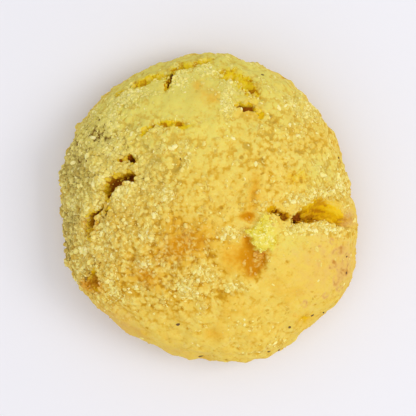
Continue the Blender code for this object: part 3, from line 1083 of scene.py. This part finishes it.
        uneven = add_node(
            tree,
            "ShaderNodeMapRange",
            {},
            {"Value": grain.outputs["Fac"], "To Min": self.smooth_bump, "To Max": 1.0},
        )
        bump = add_node(
            tree,
            "ShaderNodeBump",
            {},
            {
                "Height": height.outputs[0],
                "Distance": self.bump_mm * MM,
                "Strength": uneven.outputs["Result"],
            },
        )
        feed(
            tree,
            shader,
            {
                "Base Color": colour,
                "Roughness": rough.outputs["Result"],
                "Normal": bump.outputs["Normal"],
                "IOR": self.ior,
                "Specular IOR Level": self.sheen_of_fat,
                "Subsurface Weight": self.scatter,
                "Subsurface Radius": self.scatter_reach,
                "Subsurface Scale": self.scatter_mm * MM,
            },
        )
        return material


@dataclass(frozen=True)
class DryCrumb:
    """Crumbs of the same shortbread, rubbed off and baked on.

    They stand clear of the crust and dry out through, so they are paler and duller than it is.
    """

    name: str = "dry_shortbread_crumb"
    dark: str = "#DAB03E"
    pale: str = "#F6E688"
    floury: str = "#F9EEB0"
    cool: str = "#E2DC7C"
    shade_and_dust: str = "#A8924A"
    browned: str = "#E2A236"
    torn: str = "#E6C228"
    ior: float = 1.46
    sheen_of_fat: float = 0.12
    roughness: float = 0.88
    scatter: float = 0.15
    scatter_reach: tuple[float, float, float] = (1.0, 0.6, 0.15)
    scatter_mm: float = 0.5
    mottle_mm: float = 0.7
    flour_mm: float = 0.2  # coarser than real flour, so that it shows
    bump_mm: float = 0.06

    def build(self) -> Material:
        """Makes the material of the crumbs and the grit."""
        material, tree, shader = start_material(self.name)
        place = add_node(tree, "ShaderNodeTexCoord", {}, {}).outputs["Object"]
        mottle, flour = (
            add_node(
                tree,
                "ShaderNodeTexNoise",
                {},
                {"Vector": place, "Scale": per_metre(size), "Detail": 2.0},
            ).outputs["Fac"]
            for size in (self.mottle_mm, self.flour_mm)
        )
        colour = layered(
            tree,
            self.dark,
            (self.cool, Mask.COOL, mottle, 0.3, 0.0, 1.3),
            # Painted shade and dust grey the crumbs on the west side and the skirt.
            (self.shade_and_dust, Mask.SHADE_AND_DUST, mottle, 1.2, 0.2, 1.1),
            (self.pale, Mask.SHADE, mottle, 0.6, 0.1, 0.95),
            (self.floury, Mask.SHADE, mottle, 0.4, 0.75, 1.25),
            (self.browned, Mask.BROWN, mottle, 0.8, 0.1, 2.4),
            (self.torn, Mask.TORN, mottle, 0.8, 0.2, 1.2),
        )
        bump = add_node(
            tree,
            "ShaderNodeBump",
            {},
            {"Height": flour, "Distance": self.bump_mm * MM, "Strength": 1.0},
        )
        feed(
            tree,
            shader,
            {
                "Base Color": colour,
                "Roughness": self.roughness,
                "Normal": bump.outputs["Normal"],
                "IOR": self.ior,
                "Specular IOR Level": self.sheen_of_fat,
                "Subsurface Weight": self.scatter,
                "Subsurface Radius": self.scatter_reach,
                "Subsurface Scale": self.scatter_mm * MM,
            },
        )
        return material


@dataclass(frozen=True)
class CrushedCardamom:
    """Specks of cardamom seed crushed in a mortar: dark, dry and fibrous, with pale broken ends."""

    dark: str = "#4A3016"
    broken: str = "#8A6534"
    ior: float = 1.5
    roughness: float = 0.8
    fibre_mm: float = 0.3
    bump_mm: float = 0.05

    def build(self) -> Material:
        """Makes the material of the spice."""
        material, tree, shader = start_material("crushed_cardamom_seed")
        place = add_node(tree, "ShaderNodeTexCoord", {}, {}).outputs["Object"]
        fibre = add_node(
            tree, "ShaderNodeTexNoise", {}, {"Vector": place, "Scale": per_metre(self.fibre_mm)}
        ).outputs["Fac"]
        colour = add_node(
            tree,
            "ShaderNodeMix",
            {"data_type": "RGBA"},
            {0: fibre, 6: linear(self.dark), 7: linear(self.broken)},
        )
        bump = add_node(
            tree,
            "ShaderNodeBump",
            {},
            {"Height": fibre, "Distance": self.bump_mm * MM, "Strength": 1.0},
        )
        feed(
            tree,
            shader,
            {
                "Base Color": colour.outputs[2],
                "Roughness": self.roughness,
                "Normal": bump.outputs["Normal"],
                "IOR": self.ior,
            },
        )
        return material


@dataclass(frozen=True)
class PaleCard:
    """The floor: pale matte card with a faint tooth, which gives soft, even light back."""

    colour: str = "#EBEAEF"
    ior: float = 1.5
    roughness: float = 0.9
    tooth_mm: float = 0.6
    bump_mm: float = 0.01

    def build(self) -> Material:
        """Makes the material of the floor."""
        material, tree, shader = start_material("pale_matte_card")
        place = add_node(tree, "ShaderNodeTexCoord", {}, {}).outputs["Object"]
        tooth = add_node(
            tree, "ShaderNodeTexNoise", {}, {"Vector": place, "Scale": per_metre(self.tooth_mm)}
        ).outputs["Fac"]
        bump = add_node(
            tree,
            "ShaderNodeBump",
            {},
            {"Height": tooth, "Distance": self.bump_mm * MM, "Strength": 1.0},
        )
        feed(
            tree,
            shader,
            {
                "Base Color": linear(self.colour),
                "Roughness": self.roughness,
                "Normal": bump.outputs["Normal"],
                "IOR": self.ior,
            },
        )
        return material


# ---------------------------------------------------------------- pieces


def make_piece(
    name: str, points: Array, faces: Array, masks: dict, material: Material, smooth: bool
) -> bpy.types.Object:
    """Makes one mesh object that moves with the biscuit.

    Args:
        name: the piece's name.
        points: its points, in metres.
        faces: its triangles.
        masks: for each Mask, the number at every point.
        material: its finish.
        smooth: whether its shading is smooth, and not angular.

    Returns:
        The object.
    """
    mesh = bpy.data.meshes.new(name)
    mesh.vertices.add(len(points))
    mesh.vertices.foreach_set("co", points.astype(np.float32).ravel())
    mesh.loops.add(faces.size)
    mesh.loops.foreach_set("vertex_index", faces.astype(np.int32).ravel())
    mesh.polygons.add(len(faces))
    mesh.polygons.foreach_set("loop_start", np.arange(0, faces.size, 3, dtype=np.int32))
    mesh.update(calc_edges=True)
    if smooth:
        mesh.shade_smooth()
    else:
        mesh.shade_flat()
    for mask, numbers in masks.items():
        mesh.attributes.new(mask.value, "FLOAT", "POINT").data.foreach_set(
            "value", numbers.astype(np.float32)
        )
    mesh.materials.append(material)
    piece = bpy.data.objects.new(name, mesh)
    bpy.context.scene.collection.objects.link(piece)
    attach(piece, "root")
    log.info("%s: %d points, %d triangles", name, len(points), len(faces))
    return piece


@dataclass
class Crust:
    """The baked crust: the dough's plain skin moved by lumps, cracks, crags, grain and pits."""

    dough: Dough
    cracks: Cracks
    lump_height: float = 0.55 * MM
    lump_size: float = 12 * MM
    crag_height: float = 0.7 * MM
    crag_size: float = 4.4 * MM
    crag_octaves: int = 2
    crag_mean: float = 0.35
    calm_share: float = 0.65
    relief_fade: float = 3.5 * MM
    flake_stray: float = 0.22 * MM
    flake_stray_size: float = 0.7 * MM
    broad_stray: float = 0.7 * MM
    broad_stray_size: float = 1.6 * MM
    torn_range: Range = (0.03, 0.17)  # how tight a crack is where torn crumb shows
    torn_smooth: float = 0.5  # how much of the grain torn crumb has lost
    chunk_size: float = 1.1 * MM  # lumps of torn crumb
    chunk_height: float = 0.36 * MM
    chunk_step: float = 1.1  # how much of a lump is its own height
    chunk_dome: float = 0.4  # and how much is its domed top
    chunk_mean: float = 0.9  # taken off, so that a middling lump counts as 0
    chunk_rise: float = 1.4  # how much a lump counts in Mask.RISE
    chunk_light: float = 0.45  # how much less deep a lump's top is in a dark crack
    tightest: float = 1.3  # a crack counts as no tighter than this
    deep_range: Range = (0.62, 1.35)  # how tight it is where no light comes out
    craggy_share: float = 0.6  # how bare of skin the crags are
    fan_share: float = 0.6  # how much of its lumps a wide crack loses
    gilded_depth: float = 0.25 * MM
    gilded_bare: float = 0.8  # how bare of skin the gilded places are
    gilded_torn: float = 0.75  # and how torn their crumb looks
    hollow_brown: float = 1.75  # how much the oven coloured the hollow's floor
    flour_range: Range = (6.0 * MM, 13.0 * MM)  # floury crumbs cling above these heights
    under_range: Range = (0.3 * MM, 2.4 * MM)  # and the baked foot runs up to these
    grain_size: float = 1.1 * MM
    grain_height: float = 0.3 * MM
    grain_reach: float = 0.62  # of a cell, where a grain's cap comes down to the crust
    grain_range: Range = (0.12, 1.4)  # the smoothest and the grainiest crust
    least_grain: float = 0.25  # the lowest grain, as a share of the highest
    cap_mean: float = 0.4  # taken off, so that a middling grain counts as 0
    # How much a grain's cap, the crease round it and the roughness count in Mask.RISE.
    rise_shares: tuple[float, float, float] = (1.5, 1.4, 0.5)
    rise_range: Range = (-1.2, 1.0)
    stray_size: float = 0.8 * MM
    stray: float = 0.3 * MM
    rough_size: float = 2.0 * MM
    rough_stray: float = 0.9 * MM
    rough_height: float = 0.42 * MM
    rough_mean: float = 0.42
    rough_octaves: int = 3
    meal_size: float = 0.6 * MM
    meal_height: float = 0.09 * MM
    pit_size: float = 3.2 * MM
    pit_depth: float = 0.5 * MM
    pit_reach: float = 0.17  # of a cell
    pock_depth: float = 0.3 * MM
    pock_rim: float = 0.6
    pock_stray: float = 0.5 * MM
    pock_stray_size: float = 1.2 * MM
    rim_kept: float = 0.9  # how much of a burst bubble's rim is there, and how that swings
    rim_swing: float = 1.4
    rim_most: float = 1.3
    grain_fade: float = 2.4 * MM  # the grain dies out over this height above the foot
    foot_pit_size: float = 1.5 * MM
    foot_pit_depth: float = 0.25 * MM
    foot_pit_octaves: int = 2
    foot_pit_from: float = 0.45  # how strong the noise is where a pore starts
    foot_rim: float = 0.08  # of the foot's radius, which has no pores
    foot_level: float = 1e-6  # what is no higher than this and faces down is the foot
    points: Array = field(init=False)
    faces: Array = field(init=False)
    normals: Array = field(init=False)
    offset: Array = field(init=False)
    masks: dict = field(init=False)
    lip: Array = field(init=False)
    sunk: Array = field(init=False)
    grain: Array = field(init=False)

    def __post_init__(self) -> None:
        """Works out the crust's points, triangles and masks."""
        skin = Skin(self.dough)
        skin.split_close(self.cracks.near(skin.points, skin.fine_reach))
        skin.split_close(self.cracks.near(skin.points, skin.finest_reach, skin.finest_depth))
        plain, up = skin.points, corner_normals(skin.points, skin.faces)
        fade = smooth_step(plain[:, 2] / self.relief_fade)
        broad = self.broad_relief(plain)
        solid = self.cracks.pull(plain, up, False)
        self.offset = self.to_frame(plain + up * ((broad + solid.move) * fade)[:, None])

        pull = self.cracks.pull(plain, up, True)
        healed = strongest(HEALED, plain)
        torn = rise_between(pull.tight, *self.torn_range) * (1 - healed)
        self.grain = self.grain_at(plain) * (1 - self.torn_smooth * torn)
        rise, height = self.fine_relief(plain)
        fine_fade = smooth_step(plain[:, 2] / self.grain_fade)
        flake = self.flake_at(plain)
        gilded = strongest(GILDED, self.stray_broadly(plain))
        craggy = self.craggy_share * strongest(CRAGGY, plain)
        bare = np.maximum.reduce((torn, self.gilded_bare * gilded, flake, craggy))
        bare = np.minimum(bare, 1.0)
        bare *= 1 - self.fan_share * pull.fan
        # On a steep wall the lumps of crumb stand out from the wall itself.
        sunk = (broad + pull.move - self.gilded_depth * gilded) * fade
        opened = plain + up * sunk[:, None] + pull.shift * fade[:, None]
        chunks = self.chunks_at(opened)
        out = corner_normals(opened, skin.faces)
        rise = rise + bare * (self.chunk_rise * chunks - rise)
        moved = opened + out * (bare * self.chunk_height * chunks * fade)[:, None]
        moved = moved + up * (height * fine_fade * (1 - torn))[:, None]
        under = (plain[:, 2] <= self.foot_level) & (up[:, 2] < 0)
        moved[:, 2] = np.where(under, self.foot_relief(plain), np.maximum(moved[:, 2], 0.0))
        self.points = moved + self.offset
        self.faces = skin.faces
        self.normals = corner_normals(self.points, self.faces)
        self.lip = pull.lip
        self.sunk = np.maximum(-pull.move, 0.0)
        dark = np.minimum(pull.tight, self.tightest) - self.chunk_light * chunks
        floury = strongest(FLOURY, self.stray_broadly(plain))
        self.masks = {
            Mask.TORN: np.maximum(torn, self.gilded_torn * gilded),
            Mask.DEEP: rise_between(dark, *self.deep_range),
            Mask.STRAND: pull.strand,
            Mask.RISE: rise,
            Mask.GRAIN: self.grain,
            Mask.BROWN: self.brownness(plain) * (1 - flake),
            Mask.BLUSH: np.maximum(strongest(BLUSHED, plain), self.rims_at(plain)),
            Mask.FRESH: flake,
            Mask.COOL: coolness(plain),
            Mask.SHADE_AND_DUST: shade_and_dust_at(plain),
            Mask.FLOUR: floury * rise_between(plain[:, 2], *self.flour_range),
            Mask.UNDER: 1.0 - rise_between(plain[:, 2], *self.under_range),
        }

    def broad_relief(self, points: Array) -> Array:
        """The relief that the solid has too: lumps, crags, swellings, the flake and the hollow."""
        lumps = noise_at(points, self.lump_size)
        crags = turbulence_at(points, self.crag_size, self.crag_octaves) - self.crag_mean
        crags *= 1 + strongest(CRAGGY, points) - self.calm_share * strongest(CALM, points)
        strayed = self.stray_finely(points)
        swellings = summed(SWELLINGS, points) - HOLLOW.weight(strayed) + FLAKE.weight(strayed)
        swellings = swellings - self.pock_depth / MM * strongest(POCKS, points)
        return self.lump_height * lumps + self.crag_height * crags + swellings * MM

    def stray_broadly(self, points: Array) -> Array:
        """The points moved about a little, so that a patch gets an uneven edge."""
        return moved_about(points, self.broad_stray_size, self.broad_stray)

    def stray_finely(self, points: Array) -> Array:
        """The points moved about so finely that the flake and the hollow get ragged edges."""
        return moved_about(points, self.flake_stray_size, self.flake_stray)

    def brownness(self, points: Array) -> Array:
        """How much the oven coloured each point."""
        hollow = self.hollow_brown * HOLLOW.weight(self.stray_finely(points))
        return np.hypot(strongest(BROWNED, self.stray_broadly(points)), hollow)

    def rims_at(self, points: Array) -> Array:
        """From 0 to 1 on the brown rims of the burst bubbles, which are broken here and there."""
        strayed = moved_about(points, self.pock_stray_size, self.pock_stray)
        kept = self.rim_kept + self.rim_swing * noise_at(points, self.pock_stray_size)
        kept = np.clip(kept, 0.0, self.rim_most)
        return kept * np.max([pock.rim(strayed, self.pock_rim) for pock in POCKS], axis=0)

    def flake_at(self, points: Array) -> Array:
        """From 0 to 1 on the raised flake, whose torn edge is ragged."""
        return FLAKE.weight(self.stray_finely(points))

    def chunks_at(self, points: Array) -> Array:
        """Angular lumps of crumb with creases between them, from about -0.7 to 0.6."""
        near, own = cells_at(moved_about(points, self.stray_size, self.stray), self.chunk_size)
        domes = self.chunk_dome * np.sqrt(np.clip(1 - near**2, 0.0, 1.0))
        return self.chunk_step * own[:, 0] + domes - self.chunk_mean

    def to_frame(self, as_solid: Array) -> Array:
        """How far the biscuit has to move for its box to be over the solid's."""
        low, high = (np.array(corner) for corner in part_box(NODE))
        mine = (as_solid.min(axis=0) + as_solid.max(axis=0)) / 2
        away = (low + high) / 2 - mine
        return np.array([away[0], away[1], 0.0])

    def grain_at(self, points: Array) -> Array:
        """How grainy the crust is at each point: near 0 is smooth, and 1 or more is craggy."""
        rough = PLAIN_GRAIN + summed(GRAINY, points) - summed(SMOOTH, points)
        return np.clip(rough, *self.grain_range)

    def fine_relief(self, points: Array) -> tuple[Array, Array]:
        """Grain, roughness, meal and pits, which the solid leaves out.

        Args:
            points: points of the plain skin.

        Returns:
            The Mask.RISE number, and the height in metres.
        """
        strayed = moved_about(points, self.stray_size, self.stray)
        near, own = cells_at(strayed, self.grain_size)
        tall = self.least_grain + (1 - self.least_grain) * own[:, 0]
        cap = np.sqrt(np.clip(1 - (near / self.grain_reach) ** 2, 0.0, 1.0)) * tall
        crease = np.clip(near - self.grain_reach, 0.0, 1.0)
        bumpy = moved_about(points, self.rough_size, self.rough_stray)
        rough = turbulence_at(bumpy, self.rough_size, self.rough_octaves) - self.rough_mean
        meal = noise_at(points, self.meal_size)
        pit = smooth_step(1 - cells_at(strayed, self.pit_size)[0] / self.pit_reach)
        grains = self.grain_height * (cap - self.cap_mean - crease)
        height = self.grain * (grains + self.rough_height * rough)
        height = height + self.meal_height * meal - self.pit_depth * pit * np.sqrt(self.grain)
        top, low, uneven = self.rise_shares
        rise = (top * (cap - self.cap_mean) - low * crease + uneven * rough) * self.grain
        return np.clip(rise - pit, *self.rise_range), height

    def foot_relief(self, points: Array) -> Array:
        """The height of the foot's small pores, which keep clear of its rim."""
        rim = np.hypot(points[:, 0], points[:, 1]) / (self.dough.width / 2 * self.dough.foot_share)
        pores = turbulence_at(points, self.foot_pit_size, self.foot_pit_octaves)
        pores = np.clip(pores - self.foot_pit_from, 0.0, 1.0)
        return self.foot_pit_depth * pores * smooth_step((1 - rim) / self.foot_rim)

    def build(self, material: Material) -> bpy.types.Object:
        """Makes the crust, which stands for the biscuit's solid."""
        piece = make_piece("nankhatai_crust", self.points, self.faces, self.masks, material, True)
        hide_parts(NODE)
        return piece


# How much greener the crust gets to the north and to the west, from where and over how many
# millimetres, and between which heights the low side loses how much of that.
COOL_NORTH, COOL_WEST, COOL_START, COOL_WIDTH = 0.9, 0.35, 14.0, 52.0
COOL_HEIGHTS, COOL_LOSS = (14.0 * MM, 4.0 * MM), 0.6
# Where painted shade and dust grey the skirt and how much, and how much of the west side's painted
# shade and dust lies low down.
SKIRT_HEIGHTS, SKIRT_SHADE_AND_DUST = (9.0 * MM, 4.0 * MM), 0.25
SHADE_AND_DUST_HEIGHTS, LEAST_SHADE_AND_DUST = (4.0 * MM, 11.0 * MM), 0.35


def coolness(points: Array) -> Array:
    """From 0 where the crust is a warm yellow to 1 where it is greener, towards the north-west."""
    x, y = points[:, 0] / MM, points[:, 1] / MM
    towards = smooth_step((y * COOL_NORTH - x * COOL_WEST + COOL_START) / COOL_WIDTH)
    low = rise_between(points[:, 2], *COOL_HEIGHTS)
    return np.maximum(towards, strongest(GREENER, points)) * (1 - COOL_LOSS * low)


def shade_and_dust_at(points: Array) -> Array:
    """From 0 to 1 where painted shade and dry flour grey the crust: the west side, and the low
    skirt all round.
    """
    skirt = SKIRT_SHADE_AND_DUST * rise_between(points[:, 2], *SKIRT_HEIGHTS)
    high = LEAST_SHADE_AND_DUST + (1 - LEAST_SHADE_AND_DUST) * rise_between(points[:, 2], *SHADE_AND_DUST_HEIGHTS)
    return np.maximum(strongest(SHADED_AND_DUSTY, points) * high, skirt)


def ball(splits: int) -> tuple[Array, Array]:
    """Makes a ball of triangles with a radius of 1.

    Args:
        splits: how fine it is: 1 for 20 triangles and 2 for 80.

    Returns:
        Its points and its triangles.
    """
    bm = bmesh.new()
    bmesh.ops.create_icosphere(bm, subdivisions=splits, radius=1.0)
    points = np.array([vert.co[:] for vert in bm.verts])
    faces = np.array([[vert.index for vert in face.verts] for face in bm.faces])
    bm.free()
    return points, faces


@dataclass
class Crumbs:
    """Many small irregular lumps of crumb, half sunk in the crust, as one mesh."""

    name: str
    count: int
    smallest: float
    largest: float
    splits: int  # how fine each lump is: 1 for 20 triangles and 2 for 80
    seed: int
    lip_share: float  # how much more of them gather on the lips of the cracks
    jitter: float  # how far each corner strays, as a share of the radius
    torn_off: bool = False  # whether they are the flake's own, and lie on it alone
    craggy_share: float = 0.5  # how much more of them lie where the crags are high
    floury_share: float = 1.2  # how much more of them cling together where it is floury
    sunk: float = 0.3  # how far the middle lies under the crust, as a share of the radius
    # The least and the most of a lump's length, width and height, as shares of its size.
    squashed: tuple[Range, ...] = ((0.9, 1.5), (0.6, 1.0), (0.55, 1.0))
    size_curve: Range = (1.3, 2.6)  # of a beta draw, which gives more small ones than large
    clump_size: float = 3.0 * MM  # they lie in clumps about this wide
    clump_octaves: int = 2
    clump_swing: float = 1.5
    clump_range: Range = (0.1, 2.0)
    grain_range: Range = (0.1, 1.3)  # how grainy the crust is where they begin to stick
    sunk_range: Range = (0.4 * MM, 1.3 * MM)  # they thin out this deep in a crack
    sunk_loss: float = 0.96  # the share that is missing deep in a crack
    hollow_loss: float = 0.7  # and in the hollow
    strand_clear: float = 0.1  # none lie where the strands show more than this
    lowest: float = 1.2 * MM
    tone: float = 0.42  # the mean of their own tones, from 0 for dark to 1 for pale
    tone_spread: float = 0.3
    lip_paler: float = 0.1  # how much paler they are on a lip
    floury_paler: float = 0.35  # and where it is floury

    def pick(self, crust: Crust, rng: np.random.Generator) -> Array:
        """Picks the crust's points that crumbs stick to, more where it is grainy or has a lip."""
        if self.torn_off:
            wanted = crust.masks[Mask.FRESH] ** 2
        else:
            plan = crust.points - crust.offset
            clumps = self.clump_swing * turbulence_at(plan, self.clump_size, self.clump_octaves)
            clumps = np.clip(clumps, *self.clump_range) ** 2
            wanted = rise_between(crust.grain, *self.grain_range) * clumps
            wanted = wanted + self.lip_share * crust.lip
            wanted = wanted + self.craggy_share * strongest(CRAGGY, plan)
            wanted = wanted + self.floury_share * crust.masks[Mask.FLOUR]
            wanted *= 1.0 - self.sunk_loss * rise_between(crust.sunk, *self.sunk_range)
            wanted *= 1.0 - self.hollow_loss * HOLLOW.weight(plan)
            wanted *= 1.0 - rise_between(np.abs(crust.masks[Mask.STRAND]), 0.0, self.strand_clear)
            wanted *= 1.0 - crust.masks[Mask.FRESH]
        wanted *= crust.points[:, 2] > self.lowest
        areas = np.linalg.norm(area_vectors(crust.points, crust.faces), axis=1)
        wanted *= sum_at_corners(crust.faces, areas, len(wanted))
        return rng.choice(len(wanted), size=self.count, replace=False, p=wanted / wanted.sum())

    def build(self, crust: Crust, material: Material) -> bpy.types.Object:
        """Makes the crumbs.

        Args:
            crust: the crust that they stick to.
            material: their finish.

        Returns:
            The one object that holds them all.
        """
        rng = np.random.default_rng(self.seed)
        corners, corner_faces = ball(self.splits)
        at = self.pick(crust, rng)
        up = crust.normals[at]
        side = unit(np.cross(up, rng.normal(size=(self.count, 3))))
        other = np.cross(up, side)
        larger = (self.largest - self.smallest) * rng.beta(*self.size_curve, self.count)
        radius = 0.5 * (self.smallest + larger)
        least, most = np.array(self.squashed).T
        stretch = rng.uniform(least, most, (self.count, 3)) * radius[:, None]
        swell = 1 + self.jitter * rng.uniform(-1.0, 1.0, (self.count, len(corners)))
        lump = corners[None] * swell[..., None] * stretch[:, None]
        frame_axes = np.stack((side, other, up), axis=1)
        middle = crust.points[at] - up * (radius * self.sunk)[:, None]
        points = (lump @ frame_axes + middle[:, None]).reshape(-1, 3)
        points[:, 2] = np.maximum(points[:, 2], 0.0)
        first = len(corners) * np.arange(self.count)[:, None, None]
        faces = (corner_faces[None] + first).reshape(-1, 3)
        paler = self.lip_paler * crust.lip[at] + self.floury_paler * crust.masks[Mask.FLOUR][at]
        shade = rng.normal(self.tone, self.tone_spread, self.count) + paler
        per_crumb = {Mask.SHADE: np.clip(shade, 0.0, 1.0)}
        for mask in (Mask.COOL, Mask.SHADE_AND_DUST, Mask.BROWN, Mask.TORN):
            per_crumb[mask] = crust.masks[mask][at]
        masks = {mask: np.repeat(numbers, len(corners)) for mask, numbers in per_crumb.items()}
        return make_piece(self.name, points, faces, masks, material, False)


@dataclass
class SpiceSpecks:
    """The few dark specks of crushed cardamom that show in the crust."""

    # Where each one lies, its length and its width in millimetres, and its turn in degrees.
    places: tuple[tuple[float, float, float, float, float], ...] = (
        (-6.4, -24.8, 0.8, 0.6, 20), (-1.7, -32.2, 1.2, 0.5, -12), (11.6, 28.3, 0.7, 0.6, 0),
        (27.9, 10.7, 0.6, 0.5, 40), (29.3, -14, 0.7, 0.5, 75), (29.6, -10.6, 0.5, 0.4, 10),
        (22.2, -23, 0.7, 0.6, 30), (17.2, -25.6, 0.6, 0.6, 0), (12.8, -30.9, 0.7, 0.5, -20),
        (15.2, -31, 0.5, 0.4, 60), (-5.9, 10.2, 0.5, 0.4, 80), (24.6, -22.4, 0.4, 0.4, 0),
    )
    thickness: float = 0.4 * MM
    splits: int = 2
    seed: int = 23
    jitter: float = 0.2
    least_up: float = 0.05  # how much the crust has to face up where a speck lies

    def build(self, crust: Crust, material: Material) -> bpy.types.Object:
        """Makes the specks, each a flat chip with its top just clear of the crust.

        Args:
            crust: the crust that they lie in.
            material: their finish.

        Returns:
            The one object that holds them all.
        """
        rng = np.random.default_rng(self.seed)
        corners, corner_faces = ball(self.splits)
        rows = []
        for x, y, length, width, turn in self.places:
            plan = crust.points[:, :2] - crust.offset[:2] - np.array([x, y]) * MM
            # Crust that doesn't face up counts as farther than any that does.
            turned_away = crust.normals[:, 2] < self.least_up
            closest = ((plan**2).sum(axis=1) + turned_away).argmin()
            up = crust.normals[closest]
            heading = np.array([math.cos(math.radians(turn)), math.sin(math.radians(turn)), 0.0])
            side = unit((heading - up * heading.dot(up))[None])[0]
            swell = 1 + self.jitter * rng.uniform(-1.0, 1.0, len(corners))
            sizes = np.array([length * MM, width * MM, self.thickness]) / 2
            chip = corners * swell[:, None] * sizes
            rows.append(chip @ np.stack((side, np.cross(up, side), up)) + crust.points[closest])
        faces = np.concatenate([corner_faces + k * len(corners) for k in range(len(rows))])
        return make_piece("cardamom_specks", np.concatenate(rows), faces, {}, material, False)


# ---------------------------------------------------------------- studio


@dataclass
class Studio:
    """A plain pale floor, soft light from the right, and a camera straight above."""

    floor_half: float = 1.5
    floor_gap: float = 0.02 * MM
    camera_height: float = 0.45
    filled: float = 0.745  # of the picture's width, by the biscuit's longer side
    sensor: float = 36.0
    clip: Range = (0.01, 10.0)
    key_power: float = 2.0
    key_size: float = 0.4
    key_place: tuple[float, float, float] = (0.48, 0.02, 0.62)
    fill_power: float = 1.16
    fill_size: float = 0.8
    fill_place: tuple[float, float, float] = (-0.26, -0.36, 0.68)
    sky: str = "#F6F6F9"
    sky_strength: float = 0.77

    def build(self, material: Material) -> None:
        """Makes the floor, the lights, the sky and the camera."""
        self.make_floor(material)
        self.make_light("key", self.key_power, self.key_size, self.key_place)
        self.make_light("fill", self.fill_power, self.fill_size, self.fill_place)
        world = bpy.data.worlds.new("studio")
        world.use_nodes = True
        backdrop = world.node_tree.nodes["Background"]
        backdrop.inputs["Color"].default_value = linear(self.sky)
        backdrop.inputs["Strength"].default_value = self.sky_strength
        bpy.context.scene.world = world
        self.make_camera()

    def make_floor(self, material: Material) -> None:
        """Makes the floor just under the biscuit's foot."""
        half = self.floor_half
        corners = [(-half, -half, 0.0), (half, -half, 0.0), (half, half, 0.0), (-half, half, 0.0)]
        mesh = bpy.data.meshes.new("floor")
        mesh.from_pydata(corners, [], [(0, 1, 2, 3)])
        mesh.materials.append(material)
        floor = bpy.data.objects.new("floor", mesh)
        floor.location.z = -self.floor_gap
        bpy.context.scene.collection.objects.link(floor)
        floor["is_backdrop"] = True

    def make_light(
        self, name: str, power: float, size: float, place: tuple[float, float, float]
    ) -> None:
        """Makes a square soft light that looks at the biscuit.

        Args:
            name: the light's name.
            power: its power in watts.
            size: the side of its square, in metres.
            place: where it hangs, in metres.
        """
        light = bpy.data.lights.new(name, "AREA")
        light.energy = power
        light.size = size
        lamp = bpy.data.objects.new(name, light)
        lamp.location = place
        lamp.rotation_euler = (-Vector(place)).to_track_quat("-Z", "Y").to_euler()
        lamp.visible_camera = False
        bpy.context.scene.collection.objects.link(lamp)

    def make_camera(self) -> None:
        """Makes the camera over the biscuit's middle, with +Y up in the picture."""
        low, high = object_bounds()
        data = bpy.data.cameras.new("camera")
        data.sensor_width = self.sensor
        across = max(high.x - low.x, high.y - low.y) / self.filled
        distance = self.camera_height - Dough().widest_level
        data.lens = self.sensor * distance / across
        data.clip_start, data.clip_end = self.clip
        camera = bpy.data.objects.new("camera", data)
        camera.location = ((low.x + high.x) / 2, (low.y + high.y) / 2, self.camera_height)
        bpy.context.scene.collection.objects.link(camera)
        bpy.context.scene.camera = camera


def main() -> None:
    """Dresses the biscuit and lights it."""
    logging.basicConfig(level=logging.INFO, format="%(name)s: %(message)s")
    noise.seed_set(NOISE_SEED)
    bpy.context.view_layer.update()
    dough = Dough()
    crust = Crust(dough, Cracks(dough))
    crumb = DryCrumb().build()
    torn_crumb = DryCrumb("torn_raw_crumb", "#EAD548", "#F5EB84").build()
    crust.build(BakedCrust().build())
    # How many there are, the least and the most across, how finely split each ball is, the seed,
    # how much more of them gather on the lips, and how far their corners stray.
    Crumbs("crust_crumbs", 2000, 0.75 * MM, 1.4 * MM, 2, 5, 0.05, 0.22).build(crust, crumb)
    Crumbs("crust_grit", 9500, 0.45 * MM, 0.95 * MM, 1, 7, 0.08, 0.25).build(crust, crumb)
    Crumbs("crust_meal", 6000, 0.25 * MM, 0.5 * MM, 1, 9, 0.1, 0.25).build(crust, crumb)
    Crumbs("torn_flake", 170, 0.3 * MM, 0.8 * MM, 1, 31, 0.0, 0.3, True).build(crust, torn_crumb)
    SpiceSpecks().build(crust, CrushedCardamom().build())
    Studio().build(PaleCard().build())
    bpy.context.scene.view_settings.view_transform = "Standard"


if __name__ == "__main__":
    main()
